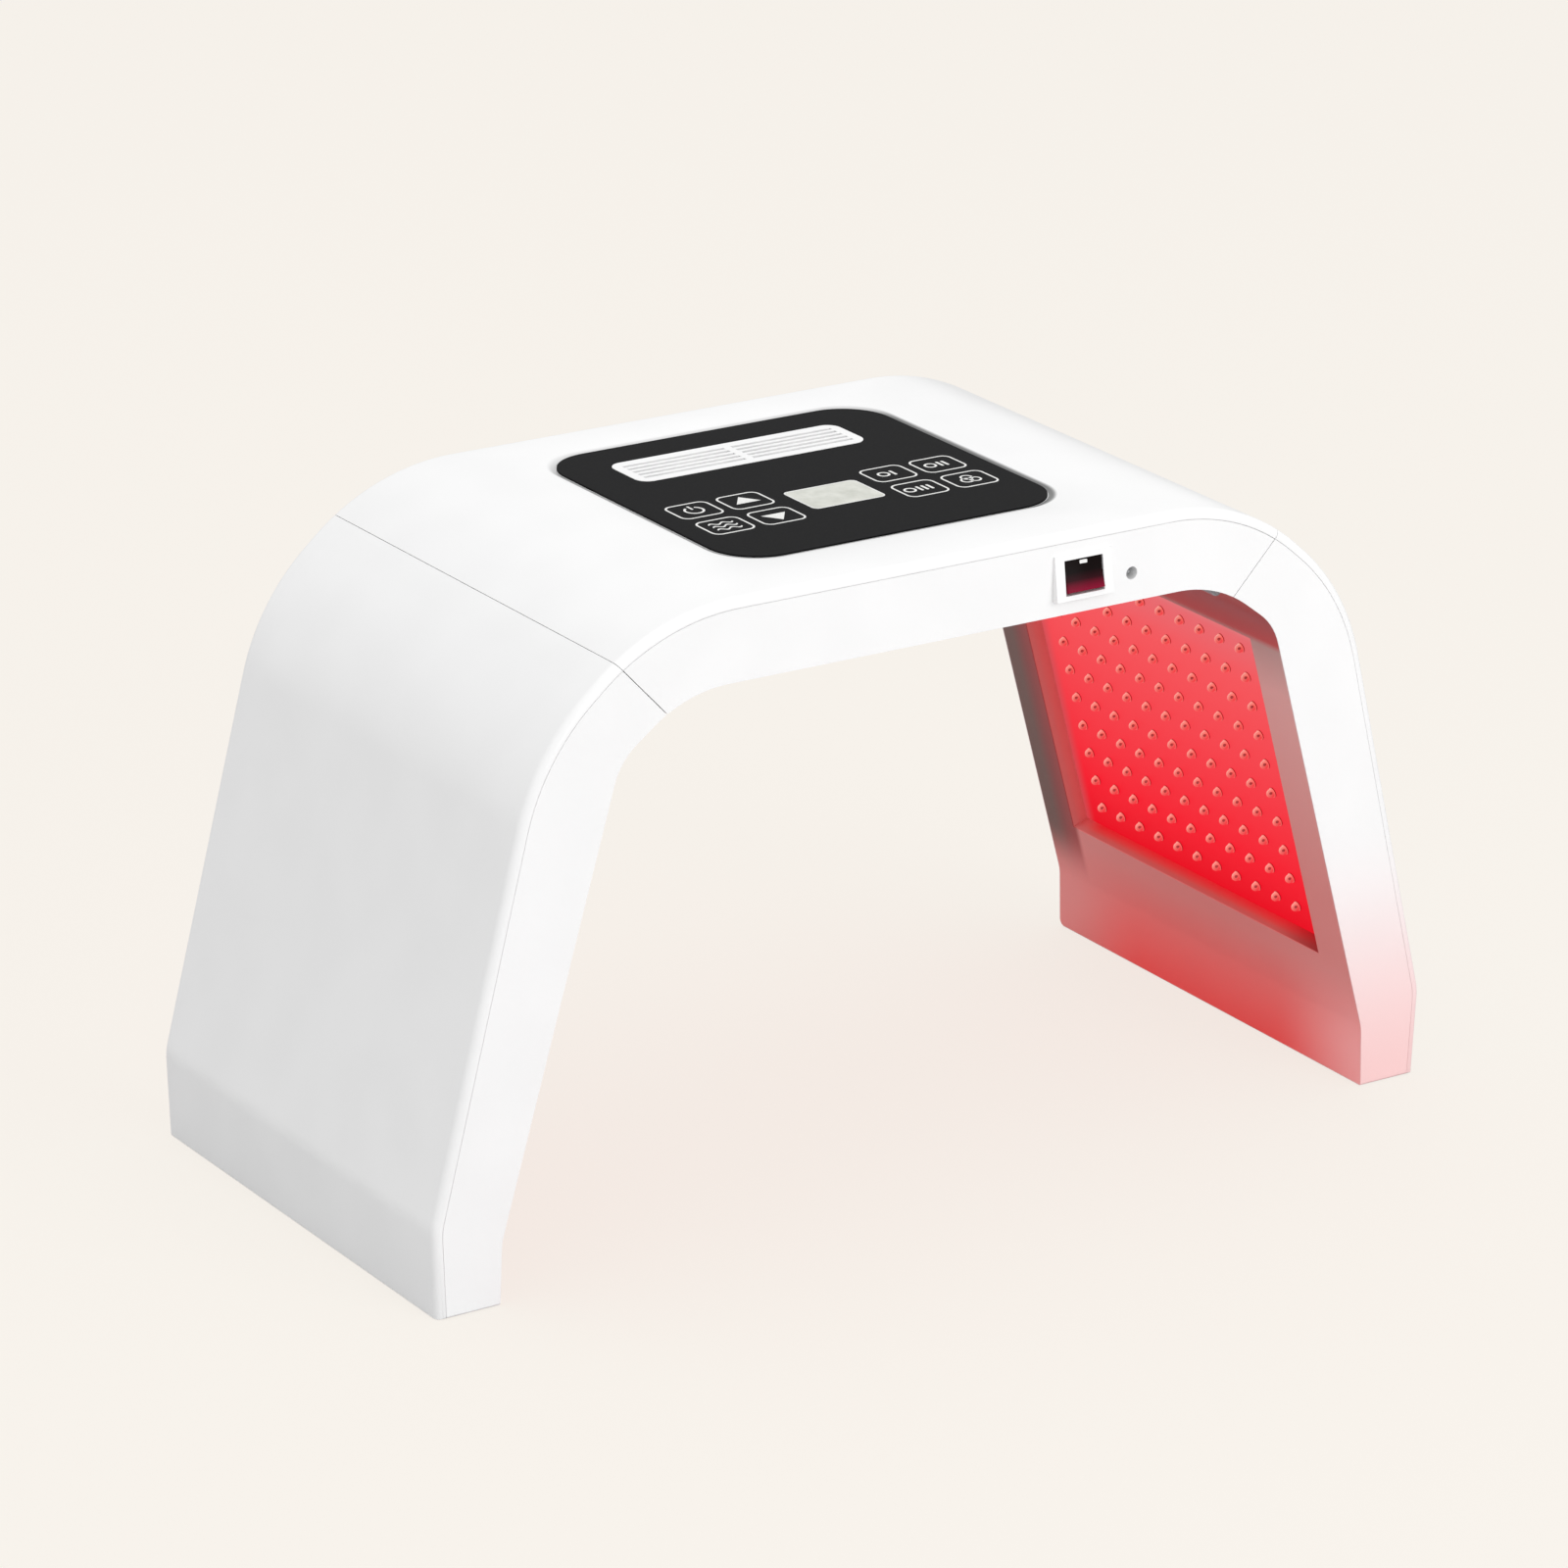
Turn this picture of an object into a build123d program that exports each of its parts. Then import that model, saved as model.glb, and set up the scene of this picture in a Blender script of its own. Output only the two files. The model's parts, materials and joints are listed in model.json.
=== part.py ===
"""Folding light therapy dome: a lamp arch in three sections on two hinges.

The arch stands on the XY plane, centred on the origin. X runs from the left
foot to the right foot, -Y is the front and +Z is up. Sizes are in millimetres.
"""

import math
import os

from build123d import *

os.makedirs("parts", exist_ok=True)

# Arch outside, right half of the front view
arch_height = 310.0
arch_depth = 250.0
top_half_width = 159.0
shoulder_run = 62.6
shoulder_drop = 54.6
knee_run = 52.9
knee_height = 43.0
foot_draft = 1.8
crown_radius = 112.0
shoulder_radius = 110.0
knee_radius = 29.0

# Arch inside, from the thickness of its bar, shoulder, leg and foot
bar_thickness = 38.8
inner_top_setback = 14.8
shoulder_thickness = 43.4
inner_shoulder_drop = 25.9
leg_thickness = 35.2
inner_knee_drop = 12.3
foot_thickness = 32.4
inner_crown_radius = 65.0
inner_shoulder_radius = 31.0
inner_knee_radius = 24.0

# Shells
cover_wall = 3.0
cover_lip = 2.2
lip_depth = 4.4
edge_bevel = 2.4
parting_gap = 0.3
frame_wall = 3.6
inner_wall = 2.5
end_wall = 3.0
foot_floor = 3.0
fit_gap = 0.2
overrun = 1.0
near_enough = 0.01
middle_share = 0.5
right_angle = 90.0

# Fold seam and its hinges
seam_inset = 5.0
seam_angle = 46.8
seam_gap = 0.4
hinge_place = 87.0
hinge_length = 50.0
knuckle_count = 3
knuckle_sides = 8
knuckle_radius = 3.2
knuckle_gap = 0.3
hinge_pin_radius = 1.5
running_gap = 0.05
leaf_thickness = 1.4
leaf_width = 22.0
hinge_clearance = 0.5
hinge_pocket_wall = 1.5
cable_window_width = 60.0
cable_window_height = 9.0

# Lamp panels: ten rows along each section and eleven across its depth
lamp_pitch = 16.0
lamp_rows = 10
lamp_columns = 11
lamp_size = 4.6
lamp_height = 4.5
recess_length = 175.0
recess_width = 203.0
recess_depth = 7.5
recess_taper = 20.0
recess_wall = 2.0
recess_drop = 102.5
board_thickness = 1.6
board_length = 189.0
board_width = 220.0
post_radius = 3.2
post_length_setback = 10.5
post_width_setback = 5.0
board_screw_radius = 1.3
board_screw_head = 2.4
board_screw_head_height = 1.6

# Control panel, and what is in it
panel_length = 180.0
panel_width = 173.6
panel_place = 4.4
panel_corner = 24.8
panel_recess = 1.0
overlay_thickness = 0.8
panel_gap = 0.5
cover_floor = 2.0
grille_length = 125.6
grille_width = 31.5
grille_place_x = -2.4
grille_offset = 49.6
grille_corner = 7.0
grille_rim = 3.0
slot_count = 5
slot_width = 2.4
slot_pitch = 4.6
slot_rim = 5.0
slot_divider = 4.0
display_length = 39.8
display_width = 28.5
display_place_x = 1.2
display_offset = -26.2
display_ledge = 1.5
module_length = 46.0
module_width = 34.0
cutout_gap = 0.1
key_column_inner = 39.4
key_column_outer = 67.0
key_row_rear = -12.9
key_row_front = -39.1
plunger_radius = 3.5
plunger_sides = 6
plunger_hole_gap = 0.4
plunger_gap = 0.1
plunger_height = 2.9
stem_width = 2.8
key_travel = 0.25
key_rest_gap = 0.05
tact_size = 6.2
tact_height = 3.5
tact_bore_depth = 1.2
keypad_drop = 5.0
keypad_thickness = 1.6
keypad_length = 164.0
keypad_width = 56.0
peg_radius = 1.2
peg_shoulder = 2.6
peg_setback = 5.0
peg_gap = 0.1
peg_head = 0.8

# Fans under the grille
fan_size = 30.0
fan_height = 10.0
fan_place = 30.0
fan_bore = 13.6
fan_sides = 12
fan_hub = 5.5
hub_sides = 8
fan_tip_gap = 0.6
fan_blades = 5
blade_thickness = 1.0
blade_chord = 8.0
blade_pitch = 38.0
fan_web = 1.5
fan_struts = 3
fan_strut = 2.4
fan_shaft = 1.0
fan_hub_gap = 0.6

# Power parts on the front wall and above the centre lamp board
switch_place = 67.4
switch_rise = 18.1
bezel_length = 31.6
bezel_height = 21.0
bezel_top_step = 0.9
bezel_bottom_step = 4.0
window_length = 21.3
window_height = 16.2
switch_wall = 2.0
switch_depth = 13.0
rocker_gap = 0.35
rocker_setback = 2.0
rocker_recess = 0.4
rocker_throw = 13.0
rocker_back = 4.5
switch_back = 1.5
rocker_axle = 1.2
rocker_axle_length = 1.2
rocker_sides = 24
terminal_width = 4.8
terminal_thickness = 0.8
terminal_length = 7.0
terminal_pitch = 7.0
jack_place = 95.5
jack_rise = 13.6
jack_bore = 3.05
jack_length = 10.5
jack_size = 8.2
jack_bore_depth = 9.0
jack_pin = 1.0
jack_pin_sides = 8
standoff_height = 6.0
standoff_radius = 2.2
driver_length = 90.0
driver_width = 62.0
driver_place_x = -30.0
driver_place_y = -40.0
driver_thickness = 1.6
driver_setback = 5.0
choke_size = 12.0
choke_height = 6.0
choke_spacing = 22.0

# Screws and feet
shank_sides = 4
head_sides = 6
cover_screw_radius = 1.5
cover_screw_head = 2.8
cover_screw_head_height = 2.0
cover_screw_length = 14.0
cover_boss_radius = 4.0
seat_radius = 5.0
seat_height = 2.5
cover_screw_inset = 47.0
cover_screw_setback = 13.0
screw_gap = 0.3
screw_tip_gap = 1.0
foot_screw_inset = 33.0
foot_screw_setback = 9.0
foot_screw_length = 13.0
pad_length = 60.0
pad_width = 16.0
pad_setback = 3.0
pad_spacing = 90.0
pad_recess = 1.0
pad_thickness = 1.4


def pairs(across, along, middle=(0, 0)):
    """The four corners of a rectangle, from its half sizes and its middle."""
    return [
        (middle[0] + side * across, middle[1] + end * along)
        for side in (-1, 1)
        for end in (-1, 1)
    ]


# Heights and places worked out from the sizes above
half_depth = arch_depth / 2
foot_level = pad_thickness - pad_recess
inner_height = arch_height - bar_thickness
shoulder_height = arch_height - shoulder_drop
shoulder_half_width = top_half_width + shoulder_run
knee_half_width = shoulder_half_width + knee_run
switch_height = inner_height + switch_rise
jack_height = inner_height + jack_rise
lip_inner_half = half_depth - cover_lip
rebate_half = lip_inner_half - fit_gap
cavity_half = half_depth - frame_wall
floor_top = arch_height - panel_recess
floor_bottom = floor_top - cover_floor
grille_y = panel_place + grille_offset
display_y = panel_place + display_offset
overlay_bottom = floor_top
seat_top = inner_height + inner_wall + seat_height
cover_screw_seat = inner_height + cover_screw_head_height + fit_gap
cover_screw_tip = cover_screw_seat + cover_screw_length
keypad_top = floor_bottom - keypad_drop
lamp_board_top = inner_height + recess_depth + board_thickness
driver_bottom = lamp_board_top + standoff_height
key_places = {
    "power": (-key_column_outer, panel_place + key_row_rear),
    "up": (-key_column_inner, panel_place + key_row_rear),
    "infrared": (-key_column_outer, panel_place + key_row_front),
    "down": (-key_column_inner, panel_place + key_row_front),
    "red": (key_column_inner, panel_place + key_row_rear),
    "green": (key_column_outer, panel_place + key_row_rear),
    "blue": (key_column_inner, panel_place + key_row_front),
    "mix": (key_column_outer, panel_place + key_row_front),
}
peg_places = pairs(keypad_length / 2 - peg_setback, keypad_width / 2 - peg_setback, (0, display_y))
cover_screw_places = pairs(top_half_width - cover_screw_inset, half_depth - cover_screw_setback)


front_plane = Plane(origin=(0, -half_depth, 0), x_dir=(1, 0, 0), z_dir=(0, -1, 0))

# Each outline is a list of corners from the crown to the foot, and their radii
outer_corners = [
    (0, arch_height),
    (top_half_width, arch_height),
    (shoulder_half_width, shoulder_height),
    (knee_half_width, knee_height),
    (knee_half_width - foot_draft, foot_level),
]
outer_radii = [crown_radius, shoulder_radius, knee_radius]
inner_corners = [
    (0, inner_height),
    (top_half_width - inner_top_setback, inner_height),
    (shoulder_half_width - shoulder_thickness, inner_height - inner_shoulder_drop),
    (knee_half_width - leg_thickness, knee_height - inner_knee_drop),
    (knee_half_width - foot_draft - foot_thickness, foot_level),
]
inner_radii = [inner_crown_radius, inner_shoulder_radius, inner_knee_radius]


def meet(first, second):
    """The point where two lines meet, each given as a point and a direction."""
    (ax, az, adx, adz), (bx, bz, bdx, bdz) = first, second
    share = ((bx - ax) * bdz - (bz - az) * bdx) / (adx * bdz - adz * bdx)
    return ax + share * adx, az + share * adz


def moved(corners, radii, outward):
    """An outline moved outward by a distance, with its ends kept on its planes."""
    runs = []
    for (x0, z0), (x1, z1) in zip(corners, corners[1:]):
        length = math.hypot(x1 - x0, z1 - z0)
        dx, dz = (x1 - x0) / length, (z1 - z0) / length
        runs.append((x0 - dz * outward, z0 + dx * outward, dx, dz))
    joined = [meet(a, b) for a, b in zip(runs, runs[1:])]
    start = (0, corners[0][1] + outward)
    end = meet(runs[-1], (0, foot_level, 1, 0))
    return [start, *joined, end], [radius + outward for radius in radii]


def outer_line(inset):
    return moved(outer_corners, outer_radii, -inset)


def inner_line(outset):
    return moved(inner_corners, inner_radii, outset)


def half_arch(outer, inner, half_width):
    """The right half of the arch between two outlines, centred on its depth."""
    with BuildPart() as half:
        with BuildSketch(Plane.XZ):
            with BuildLine():
                top = FilletPolyline(*outer[0], radius=outer[1])
                under = FilletPolyline(*inner[0], radius=inner[1])
                Line(top @ 0, under @ 0)
                Line(top @ 1, under @ 1)
            make_face()
        extrude(amount=half_width, both=True)
    return half.part


def bar(plane, length, width, depth):
    """A block on a plane, standing up from it."""
    with BuildPart() as block:
        with BuildSketch(plane):
            Rectangle(length, width)
        extrude(amount=depth)
    return block.part


# The seam plane faces the wing, and its X axis climbs from the hinge to the cover
crown_centre_x = inner_corners[1][0] - inner_crown_radius * math.tan(
    math.atan2(inner_shoulder_drop, inner_corners[2][0] - inner_corners[1][0]) / 2
)
hinge_x = top_half_width - seam_inset
hinge_z = (
    inner_height
    - inner_crown_radius
    + math.sqrt(inner_crown_radius**2 - (hinge_x - crown_centre_x) ** 2)
)
seam_rise = math.radians(seam_angle)
seam_plane = Plane(
    origin=(hinge_x, 0, hinge_z),
    x_dir=(math.cos(seam_rise), 0, math.sin(seam_rise)),
    z_dir=(math.sin(seam_rise), 0, -math.cos(seam_rise)),
)
centre_end = seam_plane.offset(-seam_gap / 2)
wing_end = seam_plane.offset(seam_gap / 2)

# Each lamp plane lies on the inner face, with Z into the section and Y to the rear
leg_dx = inner_corners[3][0] - inner_corners[2][0]
leg_dz = inner_corners[3][1] - inner_corners[2][1]
leg_length = math.hypot(leg_dx, leg_dz)
leg_down = Vector(leg_dx / leg_length, 0, leg_dz / leg_length)
leg_out = Vector(-leg_dz / leg_length, 0, leg_dx / leg_length)
leg_top = Vector(inner_corners[2][0], 0, inner_corners[2][1])
leg_plane = Plane(origin=leg_top + leg_down * recess_drop, x_dir=leg_down, z_dir=leg_out)
bar_plane = Plane(origin=(0, 0, inner_height), x_dir=(1, 0, 0), z_dir=(0, 0, 1))

post_places = pairs(
    board_length / 2 - post_length_setback, board_width / 2 - post_width_setback
)


def frustum(plane, length, width):
    """A block on a lamp plane, as deep as the recess, whose four sides lean inward."""
    across = Plane(origin=plane.origin, x_dir=plane.x_dir, z_dir=-plane.y_dir)
    along = Plane(origin=plane.origin, x_dir=plane.y_dir, z_dir=plane.x_dir)
    lean = right_angle - recess_taper
    with BuildPart() as block:
        with BuildSketch(across):
            Trapezoid(length, recess_depth, lean, align=(Align.CENTER, Align.MIN))
        extrude(amount=width / 2, both=True)
        with BuildSketch(along):
            Trapezoid(width, recess_depth, lean, align=(Align.CENTER, Align.MIN))
        extrude(amount=length / 2, both=True, mode=Mode.INTERSECT)
    return block.part


def recess_flange(plane):
    """The sloped wall around a lamp recess, with the four posts of its board."""
    sloped = frustum(plane, recess_length + 2 * recess_wall, recess_width + 2 * recess_wall)
    with BuildPart() as flange:
        add(sloped)
        with BuildSketch(plane.offset(inner_wall / 2)):
            with Locations(*post_places):
                RegularPolygon(post_radius, head_sides)
        extrude(amount=recess_depth - inner_wall / 2)
    return flange.part


def recess_opening(plane):
    """The sloped window that the lamps shine through, and the post holes."""
    sloped = frustum(plane, recess_length, recess_width)
    with BuildPart() as opening:
        add(sloped)
        with BuildSketch(plane.offset(inner_wall)):
            with Locations(*post_places):
                RegularPolygon(board_screw_radius, shank_sides)
        extrude(amount=recess_depth - inner_wall)
    return opening.part


def lamp_board(plane):
    """The circuit board behind a recess, with its screw holes."""
    with BuildPart() as board:
        with BuildSketch(plane.offset(recess_depth)):
            Rectangle(board_length, board_width)
            with Locations(*post_places):
                RegularPolygon(board_screw_radius + screw_gap, shank_sides, mode=Mode.SUBTRACT)
        extrude(amount=board_thickness)
    return board.part


def lamps(plane):
    """The lamps of one board, each standing into the recess."""
    face_plane = Plane(
        origin=plane.offset(recess_depth).origin, x_dir=plane.x_dir, z_dir=-plane.z_dir
    )
    with BuildPart() as group:
        with BuildSketch(face_plane):
            with GridLocations(lamp_pitch, lamp_pitch, lamp_rows, lamp_columns):
                Rectangle(lamp_size, lamp_size)
        extrude(amount=lamp_height)
    return group.part


def board_screws(plane):
    """Four screws that hold a lamp board to its posts."""
    with BuildPart() as screws:
        with BuildSketch(plane.offset(recess_depth + board_thickness)):
            with Locations(*post_places):
                RegularPolygon(board_screw_head, head_sides)
        extrude(amount=board_screw_head_height)
        with BuildSketch(plane.offset(inner_wall)):
            with Locations(*post_places):
                RegularPolygon(board_screw_radius, shank_sides)
        extrude(amount=recess_depth + board_thickness - inner_wall)
    return screws.part


# Outer cover blank: a curved skin with bevelled edges and a lip down each side
crest_corners, crest_radii = outer_line(0)
with BuildLine(Plane.XZ) as crest_line:
    FilletPolyline(*crest_corners, radius=crest_radii)
crest_wire = crest_line.wire()


def on_rim(edge):
    """Whether an edge runs along the front or rear end of the outer skin."""
    middle = edge @ middle_share
    at_end = abs(abs(middle.Y) - half_depth) < near_enough
    return at_end and crest_wire.distance_to(Vertex(middle.X, 0, middle.Z)) < near_enough


cover_mass = half_arch(outer_line(0), outer_line(lip_depth), half_depth)
cover_hollow = half_arch(
    outer_line(cover_wall), outer_line(lip_depth + overrun), lip_inner_half
)
with BuildPart() as cover_blank:
    add(cover_mass)
    chamfer(cover_blank.edges().filter_by(on_rim), length=edge_bevel)
    add(cover_hollow, mode=Mode.SUBTRACT)

# Frame blank: side walls behind the cover's lip, inner wall, open to the cover
frame_mass = half_arch(outer_line(lip_depth + parting_gap), inner_line(0), half_depth)
frame_rebate = half_arch(
    outer_line(cover_wall + fit_gap), outer_line(lip_depth + parting_gap), rebate_half
)
with BuildPart() as frame_blank:
    add(frame_mass)
    add(frame_rebate)

cavity = half_arch(outer_line(cover_wall), inner_line(inner_wall), cavity_half)

# Two hinges along each seam
hinge_places = [-hinge_place, hinge_place]


def hinge_rod(radius, start, length, outer=True):
    """A many-sided bar along the hinge line, from a place on the Y axis."""
    with BuildPart() as rod:
        with BuildSketch(Plane(origin=(hinge_x, start, hinge_z), z_dir=(0, 1, 0))):
            RegularPolygon(radius, knuckle_sides, major_radius=outer)
        extrude(amount=length)
    return rod.part


def leaf_block(plane, lift, low, high, start, length):
    """A flat bar on a seam face, from low to high along the climb of the seam."""
    origin = (
        plane.origin
        + plane.x_dir * ((low + high) / 2)
        + Vector(0, start + length / 2, 0)
    )
    base = Plane(origin=origin, x_dir=plane.x_dir, z_dir=lift)
    return bar(base, high - low, length, leaf_thickness)


# The walls that close the hinge room off from the inside of a section
pocket_reach = hinge_length / 2 + hinge_clearance + hinge_pocket_wall
pocket_rods = [
    hinge_rod(
        knuckle_radius + hinge_clearance + hinge_pocket_wall,
        place - pocket_reach,
        2 * pocket_reach,
        outer=False,
    )
    for place in hinge_places
]


def hinge_leaf(plane, lift, own_places, bore):
    """Two leaves with the knuckles of one section, one leaf for each hinge."""
    step = hinge_length / knuckle_count
    solids = []
    bores = []
    for place in hinge_places:
        begin = place - hinge_length / 2
        reach = knuckle_radius + hinge_clearance
        solids.append(leaf_block(plane, lift, reach, leaf_width, begin, hinge_length))
        for index in own_places:
            low = begin + index * step + knuckle_gap / 2
            high_end = reach + hinge_clearance
            solids.append(hinge_rod(knuckle_radius, low, step - knuckle_gap))
            solids.append(leaf_block(plane, lift, 0, high_end, low, step - knuckle_gap))
        bores.append(hinge_rod(bore, begin, hinge_length, outer=False))
    with BuildPart() as leaf:
        add(solids)
        add(bores, mode=Mode.SUBTRACT)
    return leaf.part


def hinge_relief(plane, lift):
    """The room that a section leaves for its hinge leaf and for both sets of knuckles."""
    solids = []
    for place in hinge_places:
        begin = place - hinge_length / 2 - hinge_clearance
        length = hinge_length + 2 * hinge_clearance
        solids.append(hinge_rod(knuckle_radius + hinge_clearance, begin, length, outer=False))
        solids.append(leaf_block(plane, lift, 0, leaf_width + fit_gap, begin, length))
    with BuildPart() as room:
        add(solids)
    return room.part


def cable_window(plane):
    """The window that the lamp leads pass through in an end wall."""
    place = plane.origin + plane.x_dir * (leaf_width / 2 + cable_window_height / 2)
    with BuildPart() as window:
        with BuildSketch(Plane(origin=place, x_dir=plane.x_dir, z_dir=plane.z_dir)):
            Rectangle(cable_window_height, cable_window_width)
        extrude(amount=end_wall + overrun, both=True)
    return window.part


# Top cover: the centre of the skin, with the panel recess in its top
top_skin = split(cover_blank.part, bisect_by=centre_end, keep=Keep.BOTTOM, mode=Mode.PRIVATE)
with BuildPart() as top_cover:
    add(top_skin)
    mirror(about=Plane.YZ)
    with BuildSketch(Plane.XY.offset(floor_top)):
        with Locations((0, panel_place)):
            RectangleRounded(
                panel_length + 2 * panel_gap,
                panel_width + 2 * panel_gap,
                panel_corner + panel_gap,
            )
    extrude(amount=panel_recess, mode=Mode.SUBTRACT)
    # Openings through the floor for the vent, the display and the plungers
    with BuildSketch(Plane.XY.offset(floor_bottom)):
        with Locations((grille_place_x, grille_y)):
            Rectangle(
                grille_length - 2 * grille_rim + 2 * fit_gap,
                grille_width - 2 * grille_rim + 2 * fit_gap,
            )
        with Locations((display_place_x, display_y)):
            Rectangle(display_length - 2 * display_ledge, display_width - 2 * display_ledge)
        with Locations(*key_places.values()):
            RegularPolygon(plunger_radius + plunger_hole_gap, plunger_sides)
    extrude(amount=cover_floor, mode=Mode.SUBTRACT)
    # Screw bosses down to the lower housing
    with BuildSketch(Plane.XY.offset(seat_top)):
        with Locations(*cover_screw_places):
            RegularPolygon(cover_boss_radius, head_sides)
    extrude(amount=arch_height - cover_wall - seat_top)
    with BuildSketch(Plane.XY.offset(seat_top)):
        with Locations(*cover_screw_places):
            RegularPolygon(cover_screw_radius, shank_sides)
    extrude(amount=cover_screw_tip + screw_tip_gap - seat_top, mode=Mode.SUBTRACT)
    # Pegs that carry the keypad board
    with BuildSketch(Plane.XY.offset(floor_bottom)):
        with Locations(*peg_places):
            RegularPolygon(peg_shoulder, shank_sides)
    extrude(amount=-keypad_drop)
    with BuildSketch(Plane.XY.offset(floor_bottom - keypad_drop)):
        with Locations(*peg_places):
            RegularPolygon(peg_radius, shank_sides)
    extrude(amount=-(keypad_thickness + peg_head))


def save(piece, name):
    """Labels a finished piece and writes it to its own file."""
    piece.label = name
    export_step(piece, f"parts/{name}.step")


save(top_cover.part, "top_cover")

# Lower housing: walls, underside with its lamp recess, and end walls at both seams
centre_hollow = split(
    cavity, bisect_by=centre_end.offset(-end_wall), keep=Keep.BOTTOM, mode=Mode.PRIVATE
)
with BuildPart() as centre_room:
    add(centre_hollow)
    add(pocket_rods, mode=Mode.SUBTRACT)

centre_mass = split(frame_blank.part, bisect_by=centre_end, keep=Keep.BOTTOM, mode=Mode.PRIVATE)
centre_relief = hinge_relief(centre_end, -seam_plane.z_dir)
centre_window = cable_window(centre_end)
centre_flange = recess_flange(bar_plane)
centre_opening = recess_opening(bar_plane)
with BuildPart() as lower_housing:
    add(centre_mass)
    add(centre_room.part, mode=Mode.SUBTRACT)
    add(centre_relief, mode=Mode.SUBTRACT)
    add(centre_window, mode=Mode.SUBTRACT)
    mirror(about=Plane.YZ)
    add(centre_flange)
    add(centre_opening, mode=Mode.SUBTRACT)
    # Screw seats in the underside
    with BuildSketch(Plane.XY.offset(inner_height + inner_wall / 2)):
        with Locations(*cover_screw_places):
            RegularPolygon(seat_radius, head_sides)
    extrude(amount=seat_height + inner_wall / 2)
    with BuildSketch(Plane.XY.offset(inner_height)):
        with Locations(*cover_screw_places):
            RegularPolygon(cover_screw_head + screw_gap, head_sides)
    extrude(amount=cover_screw_head_height + fit_gap, mode=Mode.SUBTRACT)
    with BuildSketch(Plane.XY.offset(inner_height)):
        with Locations(*cover_screw_places):
            RegularPolygon(cover_screw_radius + screw_gap, shank_sides)
    extrude(amount=seat_top - inner_height, mode=Mode.SUBTRACT)
    # Holes in the front wall for the switch and the power inlet
    with BuildSketch(front_plane):
        with Locations((switch_place, switch_height)):
            Rectangle(
                window_length + 2 * switch_wall + 2 * fit_gap,
                window_height + 2 * switch_wall + 2 * fit_gap,
            )
        with Locations((jack_place, jack_height)):
            Circle(jack_bore)
    extrude(amount=-frame_wall, mode=Mode.SUBTRACT)
save(lower_housing.part, "lower_housing")

with BuildPart() as cover_screws:
    with BuildSketch(Plane.XY.offset(cover_screw_seat)):
        with Locations(*cover_screw_places):
            RegularPolygon(cover_screw_radius, shank_sides)
    extrude(amount=cover_screw_length)
    with BuildSketch(Plane.XY.offset(cover_screw_seat)):
        with Locations(*cover_screw_places):
            RegularPolygon(cover_screw_head, head_sides)
    extrude(amount=-cover_screw_head_height)
save(cover_screws.part, "cover_screws")

# Control overlay with its cut-outs, and the clear window of the display
with BuildPart() as control_overlay:
    with BuildSketch(Plane.XY.offset(overlay_bottom)):
        with Locations((0, panel_place)):
            RectangleRounded(panel_length, panel_width, panel_corner)
        with Locations((grille_place_x, grille_y)):
            RectangleRounded(
                grille_length + 2 * cutout_gap,
                grille_width + 2 * cutout_gap,
                grille_corner + cutout_gap,
                mode=Mode.SUBTRACT,
            )
        with Locations((display_place_x, display_y)):
            Rectangle(
                display_length + 2 * cutout_gap,
                display_width + 2 * cutout_gap,
                mode=Mode.SUBTRACT,
            )
    extrude(amount=overlay_thickness)
save(control_overlay.part, "control_overlay")

with BuildPart() as display_lens:
    with BuildSketch(Plane.XY.offset(overlay_bottom)):
        with Locations((display_place_x, display_y)):
            Rectangle(display_length, display_width)
    extrude(amount=overlay_thickness)
save(display_lens.part, "display_lens")

with BuildPart() as display_module:
    with BuildSketch(Plane.XY.offset(keypad_top)):
        with Locations((display_place_x, display_y)):
            Rectangle(module_length, module_width)
    extrude(amount=keypad_drop)
save(display_module.part, "display_module")

# Vent grille: a rimmed plate on the recess floor, its slots running through both steps
with BuildPart() as vent_grille:
    with BuildSketch(Plane.XY.offset(floor_top)):
        with Locations((grille_place_x, grille_y)):
            RectangleRounded(grille_length, grille_width, grille_corner)
    extrude(amount=panel_recess)
    with BuildSketch(Plane.XY.offset(floor_top)):
        with Locations((grille_place_x, grille_y)):
            Rectangle(grille_length - 2 * grille_rim, grille_width - 2 * grille_rim)
    extrude(amount=-cover_floor)
    slot_length = (grille_length - 2 * slot_rim - slot_divider) / 2
    with BuildSketch(Plane.XY.offset(floor_bottom)):
        with Locations((grille_place_x, grille_y)):
            with GridLocations(slot_length + slot_divider, slot_pitch, 2, slot_count):
                Rectangle(slot_length, slot_width)
    extrude(amount=cover_floor + panel_recess, mode=Mode.SUBTRACT)
save(vent_grille.part, "vent_grille")

# Keypad board on the pegs, its switch bodies and their plungers
with BuildPart() as keypad_board:
    with BuildSketch(Plane.XY.offset(keypad_top)):
        with Locations((0, display_y)):
            Rectangle(keypad_length, keypad_width)
        with Locations(*peg_places):
            RegularPolygon(peg_radius + peg_gap, shank_sides, mode=Mode.SUBTRACT)
    extrude(amount=-keypad_thickness)
save(keypad_board.part, "keypad_board")

tact_top = keypad_top + tact_height
with BuildPart() as key_switches:
    with BuildSketch(Plane.XY.offset(keypad_top)):
        with Locations(*key_places.values()):
            Rectangle(tact_size, tact_size)
    extrude(amount=tact_height)
    with BuildSketch(Plane.XY.offset(tact_top)):
        with Locations(*key_places.values()):
            Rectangle(stem_width + 2 * plunger_gap, stem_width + 2 * plunger_gap)
    extrude(amount=-tact_bore_depth, mode=Mode.SUBTRACT)
save(key_switches.part, "key_switches")

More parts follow.
